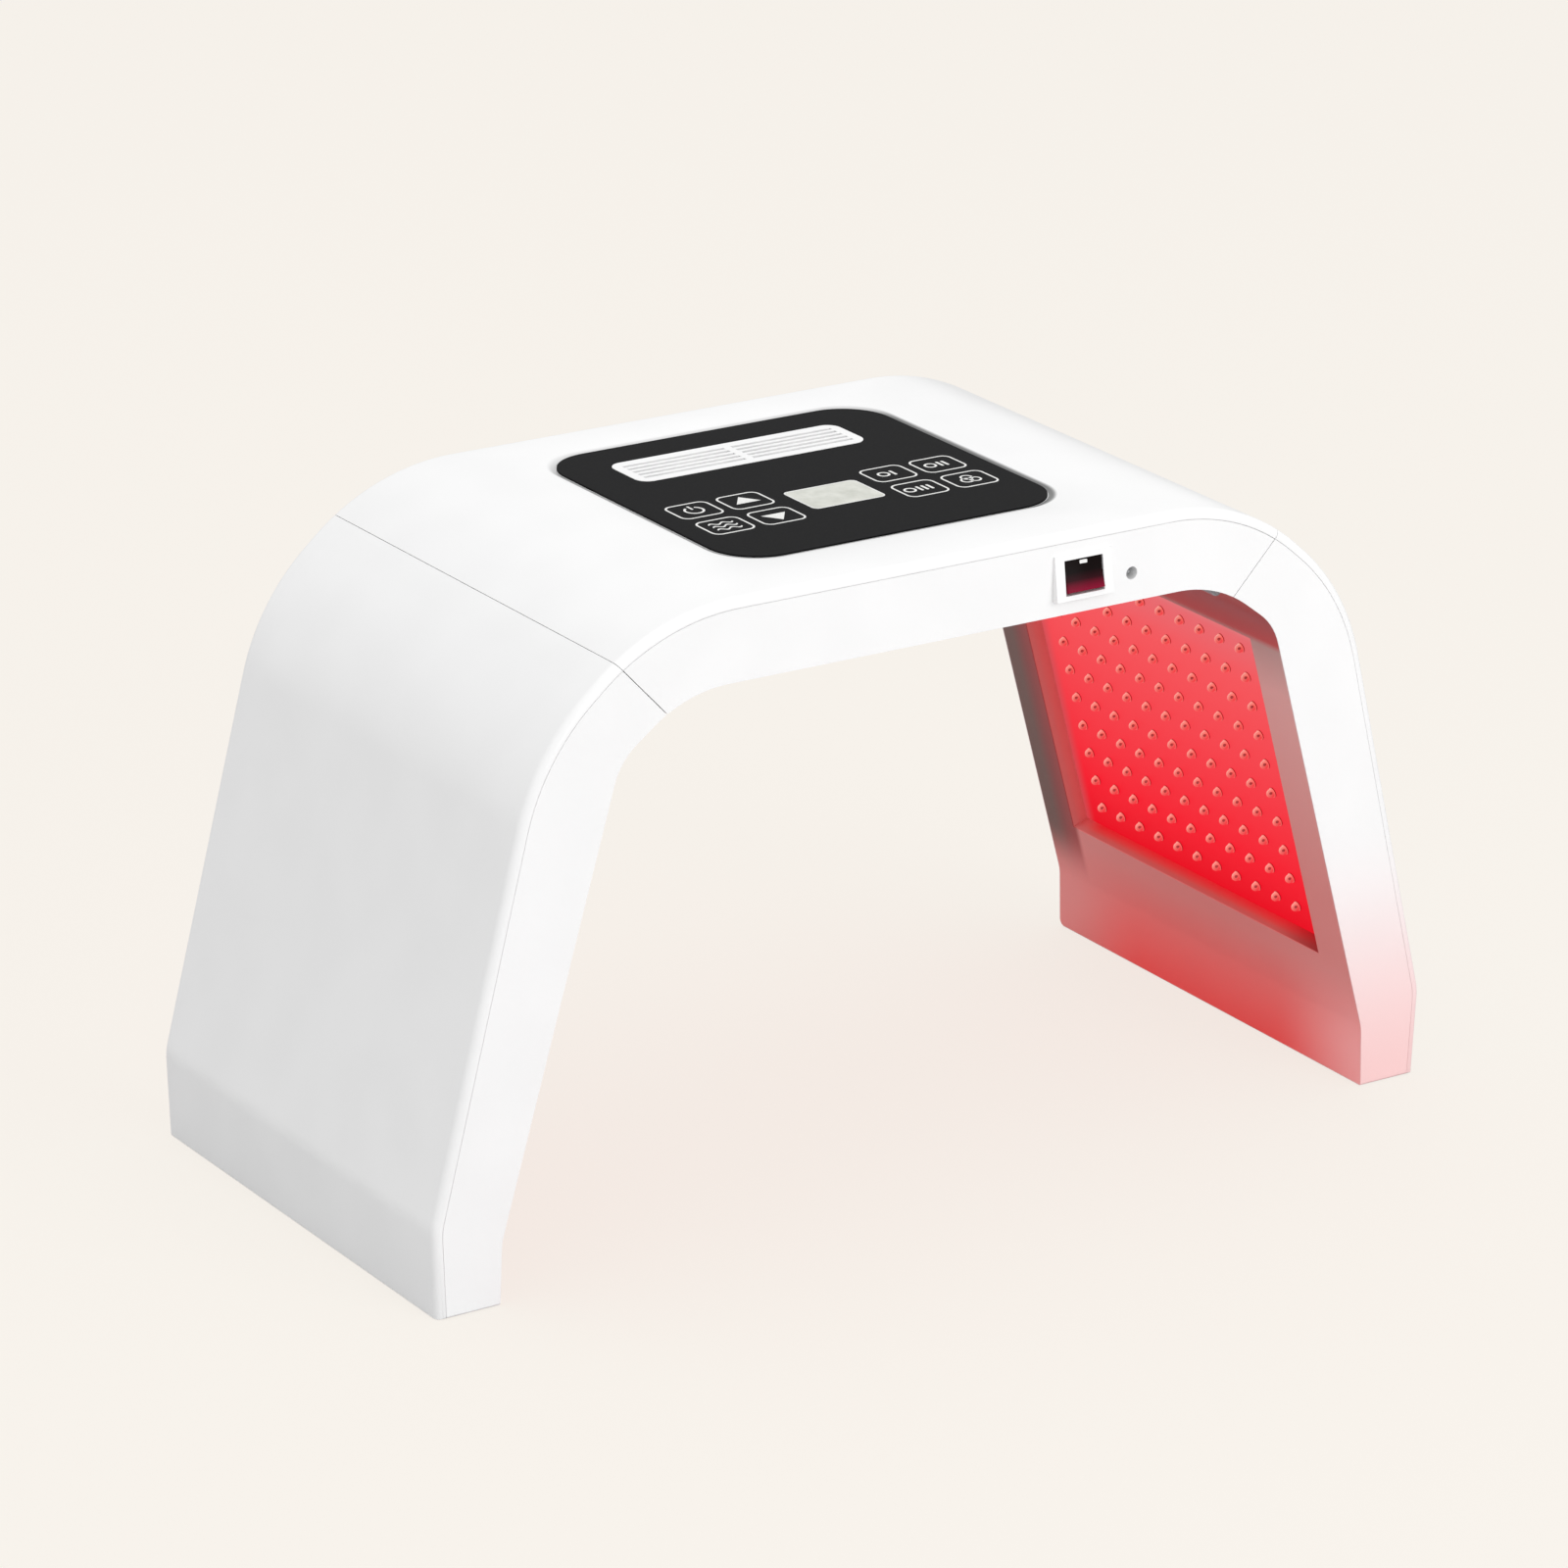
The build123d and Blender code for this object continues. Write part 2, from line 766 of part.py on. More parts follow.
plunger_top = overlay_bottom - plunger_gap
stem_bottom = tact_top - tact_bore_depth + key_travel + key_rest_gap
for key_name, key_place in key_places.items():
    with BuildPart() as plunger:
        with BuildSketch(Plane.XY.offset(plunger_top)):
            with Locations(key_place):
                RegularPolygon(plunger_radius, plunger_sides)
        extrude(amount=-plunger_height)
        with BuildSketch(Plane.XY.offset(plunger_top)):
            with Locations(key_place):
                Rectangle(stem_width, stem_width)
        extrude(amount=stem_bottom - plunger_top)
    save(plunger.part, f"key_{key_name}")

# Two axial fans against the floor of the recess, under the grille
fan_bottom = floor_bottom - fan_height
fan_places = [(-fan_place, grille_y), (fan_place, grille_y)]
with BuildPart() as fan_frames:
    with BuildSketch(Plane.XY.offset(fan_bottom)):
        with Locations(*fan_places):
            Rectangle(fan_size, fan_size)
            RegularPolygon(fan_bore, fan_sides, major_radius=False, mode=Mode.SUBTRACT)
    extrude(amount=fan_height)
    with BuildSketch(Plane.XY.offset(fan_bottom)):
        with Locations(*fan_places):
            RegularPolygon(fan_hub, hub_sides)
            with PolarLocations(fan_bore / 2, fan_struts):
                Rectangle(fan_bore + overrun, fan_strut)
            RegularPolygon(
                fan_shaft + running_gap, hub_sides, major_radius=False, mode=Mode.SUBTRACT
            )
    extrude(amount=fan_web)
save(fan_frames.part, "fan_frames")


def fan_rotor(place):
    """A hub with pitched blades on a shaft that runs in the web of its frame."""
    hub_bottom = fan_bottom + fan_web + fan_hub_gap
    hub_top = floor_bottom - fan_hub_gap
    middle = (hub_bottom + hub_top) / 2
    rise = math.radians(blade_pitch)
    with BuildPart() as rotor:
        with BuildSketch(Plane.XY.offset(hub_bottom)):
            with Locations(place):
                RegularPolygon(fan_hub, hub_sides)
        extrude(amount=hub_top - hub_bottom)
        with BuildSketch(Plane.XY.offset(fan_bottom)):
            with Locations(place):
                RegularPolygon(fan_shaft, hub_sides)
        extrude(amount=hub_bottom - fan_bottom)
        for index in range(fan_blades):
            turn = 2 * math.pi * index / fan_blades
            radial = Vector(math.cos(turn), math.sin(turn), 0)
            tangent = Vector(-math.sin(turn), math.cos(turn), 0)
            root = Vector(place[0], place[1], middle) + radial * (fan_hub / 2)
            chord = tangent * math.cos(rise) + Vector(0, 0, math.sin(rise))
            with BuildSketch(Plane(origin=root, x_dir=chord, z_dir=radial)):
                Rectangle(blade_chord, blade_thickness)
            extrude(amount=fan_bore - fan_tip_gap - fan_hub / 2)
    return rotor.part


save(fan_rotor(fan_places[0]), "fan_rotor_left")
save(fan_rotor(fan_places[1]), "fan_rotor_right")

# Centre lamp board, its lamps and screws
save(lamp_board(bar_plane), "center_led_board")
save(lamps(bar_plane), "center_led_lamps")
save(board_screws(bar_plane), "center_board_screws")

# Driver board on brass standoffs above the lamp board
standoff_places = pairs(
    driver_length / 2 - driver_setback,
    driver_width / 2 - driver_setback,
    (driver_place_x, driver_place_y),
)
with BuildPart() as board_standoffs:
    with BuildSketch(Plane.XY.offset(lamp_board_top)):
        with Locations(*standoff_places):
            RegularPolygon(standoff_radius, head_sides)
    extrude(amount=standoff_height)
save(board_standoffs.part, "board_standoffs")

with BuildPart() as driver_board:
    with BuildSketch(Plane.XY.offset(driver_bottom)):
        with Locations((driver_place_x, driver_place_y)):
            Rectangle(driver_length, driver_width)
    extrude(amount=driver_thickness)
    with BuildSketch(Plane.XY.offset(driver_bottom + driver_thickness)):
        with Locations((driver_place_x, driver_place_y)):
            with GridLocations(choke_spacing, choke_spacing, 3, 2):
                Rectangle(choke_size, choke_size)
    extrude(amount=choke_height)
save(driver_board.part, "driver_board")

# Power inlet: a socket behind the front wall, open to the front, with its pin
jack_plane = front_plane.offset(-frame_wall)
with BuildPart() as dc_jack:
    with BuildSketch(jack_plane):
        with Locations((jack_place, jack_height)):
            Rectangle(jack_size, jack_size)
    extrude(amount=-jack_length)
    with BuildSketch(jack_plane):
        with Locations((jack_place, jack_height)):
            Circle(jack_bore)
            RegularPolygon(jack_pin, jack_pin_sides, mode=Mode.SUBTRACT)
    extrude(amount=-jack_bore_depth, mode=Mode.SUBTRACT)
save(dc_jack.part, "dc_jack")

# Rocker switch: a wedge-shaped bezel with a box behind it, and the rocker on its axle
switch_tilt = math.atan2(bezel_bottom_step - bezel_top_step, bezel_height)
face_middle = -half_depth - (bezel_bottom_step + bezel_top_step) / 2
axle_y = face_middle + rocker_setback / math.cos(switch_tilt)
rocker_plane = Plane(
    origin=(switch_place, axle_y, switch_height),
    x_dir=(0, -math.cos(switch_tilt), math.sin(switch_tilt)),
    z_dir=(-1, 0, 0),
)
rocker_half = window_length / 2 - rocker_gap
with BuildPart() as switch_housing:
    with BuildSketch(Plane.YZ.offset(switch_place)):
        with BuildLine():
            Polyline(
                (-half_depth, switch_height - bezel_height / 2),
                (-half_depth - bezel_bottom_step, switch_height - bezel_height / 2),
                (-half_depth - bezel_top_step, switch_height + bezel_height / 2),
                (-half_depth, switch_height + bezel_height / 2),
                close=True,
            )
        make_face()
    extrude(amount=bezel_length / 2, both=True)
    with BuildSketch(front_plane):
        with Locations((switch_place, switch_height)):
            Rectangle(window_length + 2 * switch_wall, window_height + 2 * switch_wall)
    extrude(amount=-switch_depth)
    with BuildSketch(front_plane.offset(bezel_bottom_step + overrun)):
        with Locations((switch_place, switch_height)):
            Rectangle(window_length, window_height)
    extrude(
        amount=-(bezel_bottom_step + overrun + switch_depth - switch_back), mode=Mode.SUBTRACT
    )
    with BuildSketch(rocker_plane):
        RegularPolygon(rocker_axle + running_gap, hub_sides, major_radius=False)
    extrude(
        amount=rocker_half + rocker_gap + rocker_axle_length, both=True, mode=Mode.SUBTRACT
    )
save(switch_housing.part, "switch_housing")

rocker_radius = window_height / 2 - rocker_gap
rocker_face = rocker_setback - rocker_recess
rocker_lift = rocker_radius * math.tan(math.radians(rocker_throw))
with BuildPart() as switch_rocker:
    with BuildSketch(rocker_plane):
        RegularPolygon(rocker_radius, rocker_sides)
        with BuildLine():
            Polyline(
                (-rocker_back, -rocker_radius),
                (rocker_face + rocker_lift, -rocker_radius),
                (rocker_face, 0),
                (rocker_face, rocker_radius),
                (-rocker_back, rocker_radius),
                close=True,
            )
        make_face(mode=Mode.INTERSECT)
    extrude(amount=rocker_half, both=True)
    with BuildSketch(rocker_plane):
        RegularPolygon(rocker_axle, hub_sides)
    extrude(amount=rocker_half + rocker_axle_length, both=True)
save(switch_rocker.part, "switch_rocker")

with BuildPart() as switch_terminals:
    with BuildSketch(front_plane.offset(-switch_depth)):
        with Locations((switch_place, switch_height)):
            with GridLocations(terminal_pitch, 0, 3, 1):
                Rectangle(terminal_thickness, terminal_width)
    extrude(amount=-terminal_length)
save(switch_terminals.part, "switch_terminals")

# Hinge leaves of the centre section, on both seams
outer_knuckles = range(0, knuckle_count, 2)
inner_knuckles = range(1, knuckle_count, 2)
right_leaves = hinge_leaf(
    centre_end, -seam_plane.z_dir, outer_knuckles, hinge_pin_radius + running_gap
)
with BuildPart() as center_hinge_leaves:
    add(right_leaves)
    mirror(about=Plane.YZ)
save(center_hinge_leaves.part, "center_hinge_leaves")

# Right wing; the left wing is its mirror image
floor_level = Plane.XY.offset(foot_level + foot_floor)
wing_hollow = split(
    cavity, bisect_by=wing_end.offset(end_wall), keep=Keep.TOP, mode=Mode.PRIVATE
)
with BuildPart() as wing_room:
    add(wing_hollow)
    split(bisect_by=floor_level, keep=Keep.TOP)
    add(pocket_rods, mode=Mode.SUBTRACT)

foot_outer_x = knee_half_width - foot_draft
foot_screw_x = foot_outer_x - foot_screw_setback
foot_screws_at = [
    (foot_screw_x, side * (half_depth - foot_screw_inset)) for side in (-1, 1)
]
foot_screw_seat = foot_level + cover_screw_head_height + fit_gap
foot_screw_tip = foot_screw_seat + foot_screw_length
pad_x = foot_outer_x - foot_thickness + pad_width / 2 + pad_setback
pads_at = [(pad_x, side * pad_spacing / 2) for side in (-1, 1)]
wing_mass = split(frame_blank.part, bisect_by=wing_end, keep=Keep.TOP, mode=Mode.PRIVATE)
wing_relief = hinge_relief(wing_end, seam_plane.z_dir)
wing_window = cable_window(wing_end)
wing_flange = recess_flange(leg_plane)
wing_opening = recess_opening(leg_plane)
with BuildPart() as inner_frame:
    add(wing_mass)
    add(wing_room.part, mode=Mode.SUBTRACT)
    add(wing_relief, mode=Mode.SUBTRACT)
    add(wing_window, mode=Mode.SUBTRACT)
    add(wing_flange)
    add(wing_opening, mode=Mode.SUBTRACT)
    # Screw seats and pad recesses in the foot
    with BuildSketch(floor_level.offset(-foot_floor / 2)):
        with Locations(*foot_screws_at):
            RegularPolygon(seat_radius, head_sides)
    extrude(amount=foot_floor / 2 + seat_height)
    with BuildSketch(Plane.XY.offset(foot_level)):
        with Locations(*foot_screws_at):
            RegularPolygon(cover_screw_head + screw_gap, head_sides)
    extrude(amount=cover_screw_head_height + fit_gap, mode=Mode.SUBTRACT)
    with BuildSketch(Plane.XY.offset(foot_level)):
        with Locations(*foot_screws_at):
            RegularPolygon(cover_screw_radius + screw_gap, shank_sides)
    extrude(amount=foot_floor + seat_height, mode=Mode.SUBTRACT)
    with BuildSketch(Plane.XY.offset(foot_level)):
        with Locations(*pads_at):
            Rectangle(pad_width + 2 * fit_gap, pad_length + 2 * fit_gap)
    extrude(amount=pad_recess, mode=Mode.SUBTRACT)

boss_bottom = foot_level + foot_floor + seat_height
wing_skin = split(cover_blank.part, bisect_by=wing_end, keep=Keep.TOP, mode=Mode.PRIVATE)
with BuildPart() as outer_cover:
    add(wing_skin)
    # Screw bosses in the foot, each webbed to the wall
    with BuildSketch(Plane.XY.offset(boss_bottom)):
        with Locations(*foot_screws_at):
            RegularPolygon(cover_boss_radius, head_sides)
        with Locations(*foot_screws_at):
            Rectangle(
                foot_screw_setback - cover_wall / 2,
                cover_boss_radius,
                align=(Align.MIN, Align.CENTER),
            )
    extrude(amount=foot_screw_tip + screw_tip_gap - boss_bottom + cover_screw_radius)
    with BuildSketch(Plane.XY.offset(boss_bottom)):
        with Locations(*foot_screws_at):
            RegularPolygon(cover_screw_radius, shank_sides)
    extrude(amount=foot_screw_tip + screw_tip_gap - boss_bottom, mode=Mode.SUBTRACT)

with BuildPart() as foot_screws:
    with BuildSketch(Plane.XY.offset(foot_screw_seat)):
        with Locations(*foot_screws_at):
            RegularPolygon(cover_screw_radius, shank_sides)
    extrude(amount=foot_screw_length)
    with BuildSketch(Plane.XY.offset(foot_screw_seat)):
        with Locations(*foot_screws_at):
            RegularPolygon(cover_screw_head, head_sides)
    extrude(amount=-cover_screw_head_height)

with BuildPart() as foot_pads:
    with BuildSketch(Plane.XY):
        with Locations(*pads_at):
            Rectangle(pad_width, pad_length)
    extrude(amount=pad_thickness)

pins = [
    hinge_rod(hinge_pin_radius, place - hinge_length / 2, hinge_length)
    for place in hinge_places
]
with BuildPart() as hinge_pins:
    add(pins)

wing_pieces = {
    "outer_cover": outer_cover.part,
    "inner_frame": inner_frame.part,
    "led_board": lamp_board(leg_plane),
    "led_lamps": lamps(leg_plane),
    "board_screws": board_screws(leg_plane),
    "hinge_leaves": hinge_leaf(
        wing_end, seam_plane.z_dir, inner_knuckles, hinge_pin_radius
    ),
    "hinge_pins": hinge_pins.part,
    "foot_screws": foot_screws.part,
    "foot_pads": foot_pads.part,
}
for piece_name, right_piece in wing_pieces.items():
    save(right_piece, f"right_{piece_name}")
    with BuildPart() as left_piece:
        mirror(right_piece, about=Plane.YZ)
    save(left_piece.part, f"left_{piece_name}")
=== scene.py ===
# %% [markdown]
# A folding light therapy dome: three white moulded sections, joined by hinges,
# carry panels of red lamps on their inner faces. The CAD model gives every size
# and place. Here the visible skins get their soft edges, the lamps their round
# lenses, the control panel its print, and each surface the finish of the real one.

# %% Load the CAD model as the frame
import json
import math

import bpy
from mathutils import Matrix, Vector

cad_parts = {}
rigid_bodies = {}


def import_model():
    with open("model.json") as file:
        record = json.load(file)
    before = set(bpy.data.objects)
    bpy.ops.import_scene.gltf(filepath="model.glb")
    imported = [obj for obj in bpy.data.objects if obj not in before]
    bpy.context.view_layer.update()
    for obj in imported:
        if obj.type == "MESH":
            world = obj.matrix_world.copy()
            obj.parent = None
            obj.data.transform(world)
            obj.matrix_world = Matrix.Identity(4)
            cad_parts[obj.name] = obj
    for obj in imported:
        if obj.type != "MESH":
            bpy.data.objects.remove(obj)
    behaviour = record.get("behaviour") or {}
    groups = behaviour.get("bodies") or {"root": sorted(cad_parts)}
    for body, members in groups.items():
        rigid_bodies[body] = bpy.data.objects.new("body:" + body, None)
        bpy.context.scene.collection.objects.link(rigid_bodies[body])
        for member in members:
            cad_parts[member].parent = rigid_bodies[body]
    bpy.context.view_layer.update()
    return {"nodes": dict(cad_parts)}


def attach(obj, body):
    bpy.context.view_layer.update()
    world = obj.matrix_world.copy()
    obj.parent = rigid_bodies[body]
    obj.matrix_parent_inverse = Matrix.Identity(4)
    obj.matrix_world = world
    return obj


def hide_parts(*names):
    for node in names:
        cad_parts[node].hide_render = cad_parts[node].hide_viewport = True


bpy.ops.object.select_all(action="SELECT")
bpy.ops.object.delete()
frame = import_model()
nodes = frame["nodes"]

# %% [markdown]
# Blender works in metres and the drawing in millimetres, so one number turns the
# second into the first. The outline below is the right half of the front view,
# from the middle of the top down to the foot, with a radius at each corner.

# %% Sizes from the drawing
MM = 0.001
half_depth = 125.0
top = 310.0
foot_level = 0.4
outline = [(0.0, top), (159.0, top), (221.6, 255.4), (274.5, 43.0), (272.7, foot_level)]
outline_radii = [112.0, 110.0, 29.0]
seam_point = Vector((154.0, 0.0, 262.925))
seam_rise = math.radians(46.8)
seam_up = Vector((math.cos(seam_rise), 0, math.sin(seam_rise)))
seam_normal = Vector((math.sin(seam_rise), 0, -math.cos(seam_rise)))
leg_out = Vector((0.96178, 0, 0.27383))
print("seam leans", round(math.degrees(seam_rise), 1), "degrees")

# %% [markdown]
# Each new piece starts as a simple shape that is added and then worked on in edit
# mode. An operator acts on whatever is selected, so these helpers first let go of
# everything else. One draws a line of edges the way a pen does: a single vertex
# is pulled on from point to point.


# %% Helpers for selecting
def let_go():
    """Leaves edit mode and deselects every object."""
    if bpy.context.object and bpy.context.object.mode != "OBJECT":
        bpy.ops.object.mode_set(mode="OBJECT")
    bpy.ops.object.select_all(action="DESELECT")


def take(*pieces):
    """Selects these pieces alone, and makes the first one active."""
    let_go()
    for piece in pieces:
        piece.select_set(True)
    bpy.context.view_layer.objects.active = pieces[0]


def drop(*pieces):
    """Deletes pieces that only served to make others."""
    take(*pieces)
    bpy.ops.object.delete()


def edit(piece, mode="VERT"):
    """Opens one piece in edit mode with nothing selected."""
    take(piece)
    bpy.ops.object.mode_set(mode="EDIT")
    bpy.ops.mesh.select_mode(type=mode)
    bpy.ops.mesh.select_all(action="DESELECT")


def grab(mode="VERT"):
    """Selects all of the open mesh, by its points, edges or faces."""
    bpy.ops.mesh.select_mode(type=mode)
    bpy.ops.mesh.select_all(action="SELECT")


def pick(piece, wanted, kind="polygons"):
    """Selects the faces, edges or vertices that pass a test, and stays in edit mode."""
    bpy.ops.object.mode_set(mode="OBJECT")
    data = piece.data
    for group in (data.polygons, data.edges, data.vertices):
        for item in group:
            item.select = False
    found = 0
    for item in getattr(data, kind):
        if wanted(item):
            item.select = True
            found += 1
    bpy.ops.object.mode_set(mode="EDIT")
    return found


print("can select")


# %% Helpers for shaping
def pull(x, y, z):
    """Extrudes what is selected by a step in millimetres."""
    step = (x * MM, y * MM, z * MM)
    bpy.ops.mesh.extrude_region_move(TRANSFORM_OT_translate={"value": step})


def weld(gap=0.001):
    """Merges points of the open mesh that lie closer than a gap in millimetres."""
    bpy.ops.mesh.select_all(action="SELECT")
    bpy.ops.mesh.remove_doubles(threshold=gap * MM)


def place(piece, location=(0, 0, 0), turn=None):
    """Moves a finished mesh to its place and leaves its object at the origin."""
    take(piece)
    matrix = Matrix.Translation(Vector(location) * MM)
    if turn is not None:
        matrix = matrix @ turn
    piece.matrix_world = matrix
    bpy.ops.object.transform_apply(location=True, rotation=True, scale=True)
    return piece


def use(piece, kind, **settings):
    """Adds a modifier, sets it and applies it."""
    take(piece)
    modifier = piece.modifiers.new(kind.title(), kind)
    for key, value in settings.items():
        setattr(modifier, key, value)
    bpy.ops.object.modifier_apply(modifier=modifier.name)


def smooth(piece, sharp=40):
    """Smooths a piece, apart from edges sharper than an angle in degrees."""
    take(piece)
    bpy.ops.object.shade_smooth_by_angle(angle=math.radians(sharp))


def tidy(piece, sharp=40):
    """Merges doubles, turns the faces outwards and smooths all but the sharp edges."""
    edit(piece)
    weld(0.002)
    bpy.ops.mesh.normals_make_consistent(inside=False)
    smooth(piece, sharp)
    return piece


def dress(piece, *surfaces):
    """Gives a piece its finishes in place of any that it has."""
    piece.data.materials.clear()
    for surface in surfaces:
        piece.data.materials.append(surface)


print("can shape")


# %% Helpers for drawing a line and a plate
def draw(name, points):
    """Draws a line of edges through points in millimetres, and leaves it open."""
    let_go()
    bpy.ops.mesh.primitive_plane_add(size=MM)
    piece = bpy.context.object
    piece.name = name
    bpy.ops.object.mode_set(mode="EDIT")
    grab()
    bpy.ops.mesh.merge(type="CENTER")
    bpy.ops.transform.translate(value=Vector(points[0]) * MM)
    for start, end in zip(points, points[1:]):
        pull(*(Vector(end) - Vector(start)))
    return piece


def plate(name, length, width, corner, thickness, steps=6, edge=0.0):
    """A flat plate with round corners, standing on the origin, with its upper edge eased."""
    let_go()
    bpy.ops.mesh.primitive_plane_add(size=1)
    piece = bpy.context.object
    piece.name = name
    bpy.ops.object.mode_set(mode="EDIT")
    grab()
    bpy.ops.transform.resize(value=(length * MM, width * MM, 1))
    if corner:
        bpy.ops.mesh.bevel(offset=corner * MM, segments=steps, affect="VERTICES")
    bpy.ops.mesh.select_all(action="SELECT")
    if thickness:
        pull(0, 0, thickness - edge)
    if edge:
        pull(0, 0, edge)
        bpy.ops.transform.resize(value=(1 - 2 * edge / length, 1 - 2 * edge / width, 1))
    let_go()
    return piece


print("can draw")

# %% [markdown]
# Colours are written as the hex codes that a picture editor shows and turned to
# the linear values that Blender mixes with. One small function adds a node, with
# its settings and whatever feeds each of its inputs.


# %% Helpers for materials
def linear(code):
    """Turns an sRGB hex colour such as F7F2EB to linear red, green, blue and alpha."""
    parts = [int(code[i : i + 2], 16) / 255 for i in (0, 2, 4)]
    return (*[c / 12.92 if c <= 0.04045 else ((c + 0.055) / 1.055) ** 2.4 for c in parts], 1.0)


def feed(tree, made, **inputs):
    """Gives a node's inputs, by name or identifier, a link, a hex colour or a value."""
    for key, value in inputs.items():
        socket = next(s for s in made.inputs if key in (s.identifier, s.name.replace(" ", "_")))
        if isinstance(value, bpy.types.NodeSocket):
            tree.links.new(value, socket)
        else:
            socket.default_value = linear(value) if isinstance(value, str) else value


def node(tree, kind, settings=None, **inputs):
    """Adds one node with its settings and inputs. Stops are the colours of a ramp."""
    made = tree.nodes.new("ShaderNode" + kind)
    for key, value in (settings or {}).items():
        if key != "stops":
            setattr(made, key, value)
            continue
        bar = made.color_ramp
        while len(bar.elements) < len(value):
            bar.elements.new(1.0)
        for element, (where, code) in zip(bar.elements, value):
            element.position = where
            element.color = linear(code)
    feed(tree, made, **inputs)
    return made


def finish(name, **surface):
    """A new material with plain values on its surface node."""
    made = bpy.data.materials.new(name)
    made.use_nodes = True
    shader = made.node_tree.nodes["Principled BSDF"]
    feed(made.node_tree, shader, **surface)
    return made, made.node_tree, shader


def waver(tree, shader, size_mm, darker, lighter, spread=0.15, detail=2.0, stretch=(1, 1, 1)):
    """Lets the colour waver between two shades, in lumps of a size. Gives pattern and colour."""
    spot = node(tree, "TexCoord").outputs["Object"]
    spot = node(tree, "Mapping", Vector=spot, Scale=stretch).outputs["Vector"]
    lumps = node(tree, "TexNoise", Vector=spot, Scale=1 / (size_mm * MM), Detail=detail)
    pattern = lumps.outputs["Fac"]
    stops = ((0.5 - spread, darker), (0.5 + spread, lighter))
    colour = node(tree, "ValToRGB", {"stops": stops}, Fac=pattern).outputs["Color"]
    feed(tree, shader, Base_Color=colour)
    return pattern, colour


def relief(tree, shader, pattern, depth_mm, strength, eased_mm=0.6):
    """Lets a pattern raise the surface, and eases its edges as moulding does."""
    soft = node(tree, "Bevel", {"samples": 6}, Radius=eased_mm * MM).outputs["Normal"]
    raised = node(
        tree, "Bump", Strength=strength, Distance=depth_mm * MM, Height=pattern, Normal=soft
    )
    feed(tree, shader, Normal=raised.outputs["Normal"])


print("background", [round(v, 3) for v in linear("F7F2EB")])

# %% [markdown]
# The lamp light is painted on, zone by zone. A zone has limits: a length that is
# measured on the part, the two places between which the paint comes or goes, and
# how much of it there is at each, from none to all of it if nothing else is said.

# %% Helpers for painting zones
eased = {"interpolation_type": "SMOOTHSTEP"}
dot = {"operation": "DOT_PRODUCT"}
product = {"operation": "MULTIPLY"}
blend = {"data_type": "RGBA"}


def lengths(tree):
    """The place of a point in the frame of the part: its X, Y and Z."""
    return node(tree, "SeparateXYZ", Vector=node(tree, "TexCoord").outputs["Object"]).outputs


def away_from(tree, length, mark=0.0):
    """How far a length is from a mark in millimetres, whichever side of it."""
    rest = node(tree, "Math", {"operation": "SUBTRACT"}, Value=length, Value_001=mark * MM)
    return node(tree, "Math", {"operation": "ABSOLUTE"}, Value=rest.outputs["Value"]).outputs[0]


def outward(tree, at, direction):
    """How far a point lies along a direction, on either side of the middle of the part."""
    both = node(tree, "CombineXYZ", X=away_from(tree, at["X"]), Z=at["Z"]).outputs["Vector"]
    return node(tree, "VectorMath", dot, Vector=both, Vector_001=direction).outputs["Value"]


def between(start, end, before=0.0, after=1.0):
    """The inputs that turn millimetres from start to end into a share from before to after."""
    return {"From_Min": start * MM, "From_Max": end * MM, "To_Min": before, "To_Max": after}


def fade(tree, length, start, end, *stops, easing=None):
    """Runs colours along a length. Each stop is a share of the way and a colour."""
    way = node(tree, "MapRange", easing, Value=length, **between(start, end)).outputs["Result"]
    return node(tree, "ValToRGB", {"stops": stops}, Fac=way).outputs["Color"]


def paint(tree, colour, *layers):
    """Lays colours over a first one. Each layer is a colour and the limits of its zone."""
    for over, *limits in layers:
        share = 1.0
        for length, *limit in limits:
            step = node(tree, "MapRange", eased, Value=length, **between(*limit)).outputs["Result"]
            share = node(tree, "Math", product, Value=share, Value_001=step).outputs["Value"]
        mixed = node(tree, "Mix", blend, Factor_Float=share, A_Color=colour, B_Color=over)
        colour = mixed.outputs[2]
    return colour


print("can paint zones")

# %% [markdown]
# The shells are ABS, injection moulded in a polished tool: white, glossy, and
# with a very slight ripple that only the edges of reflections show. The right
# wing gets a second version, with the red light of its lamps painted onto the
# lower end of the moulding as a pale pink glow.


# %% Gloss white moulded ABS
def white_moulding(name, eased_mm, **surface):
    """White ABS with a slight ripple 30 mm long, and edges eased in the tool."""
    made, tree, shader = finish(name, IOR=1.54, **surface)
    ripple, white = waver(tree, shader, 30.0, "F3F3F3", "F5F5F5", 0.2, 0.0)
    relief(tree, shader, ripple, 0.02, 0.05, eased_mm)
    return made, tree, shader, white


# Polished moulding: clean white with soft, slightly wavy highlights.
white_abs = white_moulding("gloss white moulded ABS", 0.25, Roughness=0.28)[0]
print(white_abs.name)

# %% White ABS on the sloped rim of the panel recess
# The grey on the slope is painted shade: grey low down and white at the top, deeper on the right
# half and paler at the rear.
rim_abs, tree, shader = finish("white ABS in the shade of the recess", Roughness=0.28, IOR=1.54)
at = lengths(tree)
slope = (at["Z"], 309.45, top)
deep_shade_stops = (0.0, "5C5C5C"), (0.35, "8E8E8E"), (0.7, "D0D0D0"), (1.0, "F4F4F4")
pale_shade_stops = (0.0, "969696"), (0.35, "BCBCBC"), (0.7, "E0E0E0"), (1.0, "F4F4F4")
deep_painted_shade = fade(tree, *slope, *deep_shade_stops)
pale_painted_shade = fade(tree, *slope, *pale_shade_stops)
deeper_shade_right = (deep_painted_shade, (at["X"], -80, 80))
paler_shade_rear = ("F0F0F0", (at["Y"], 60, 90, 0, 0.7))
feed(tree, shader, Base_Color=paint(tree, pale_painted_shade, deeper_shade_right, paler_shade_rear))
print(rim_abs.name)
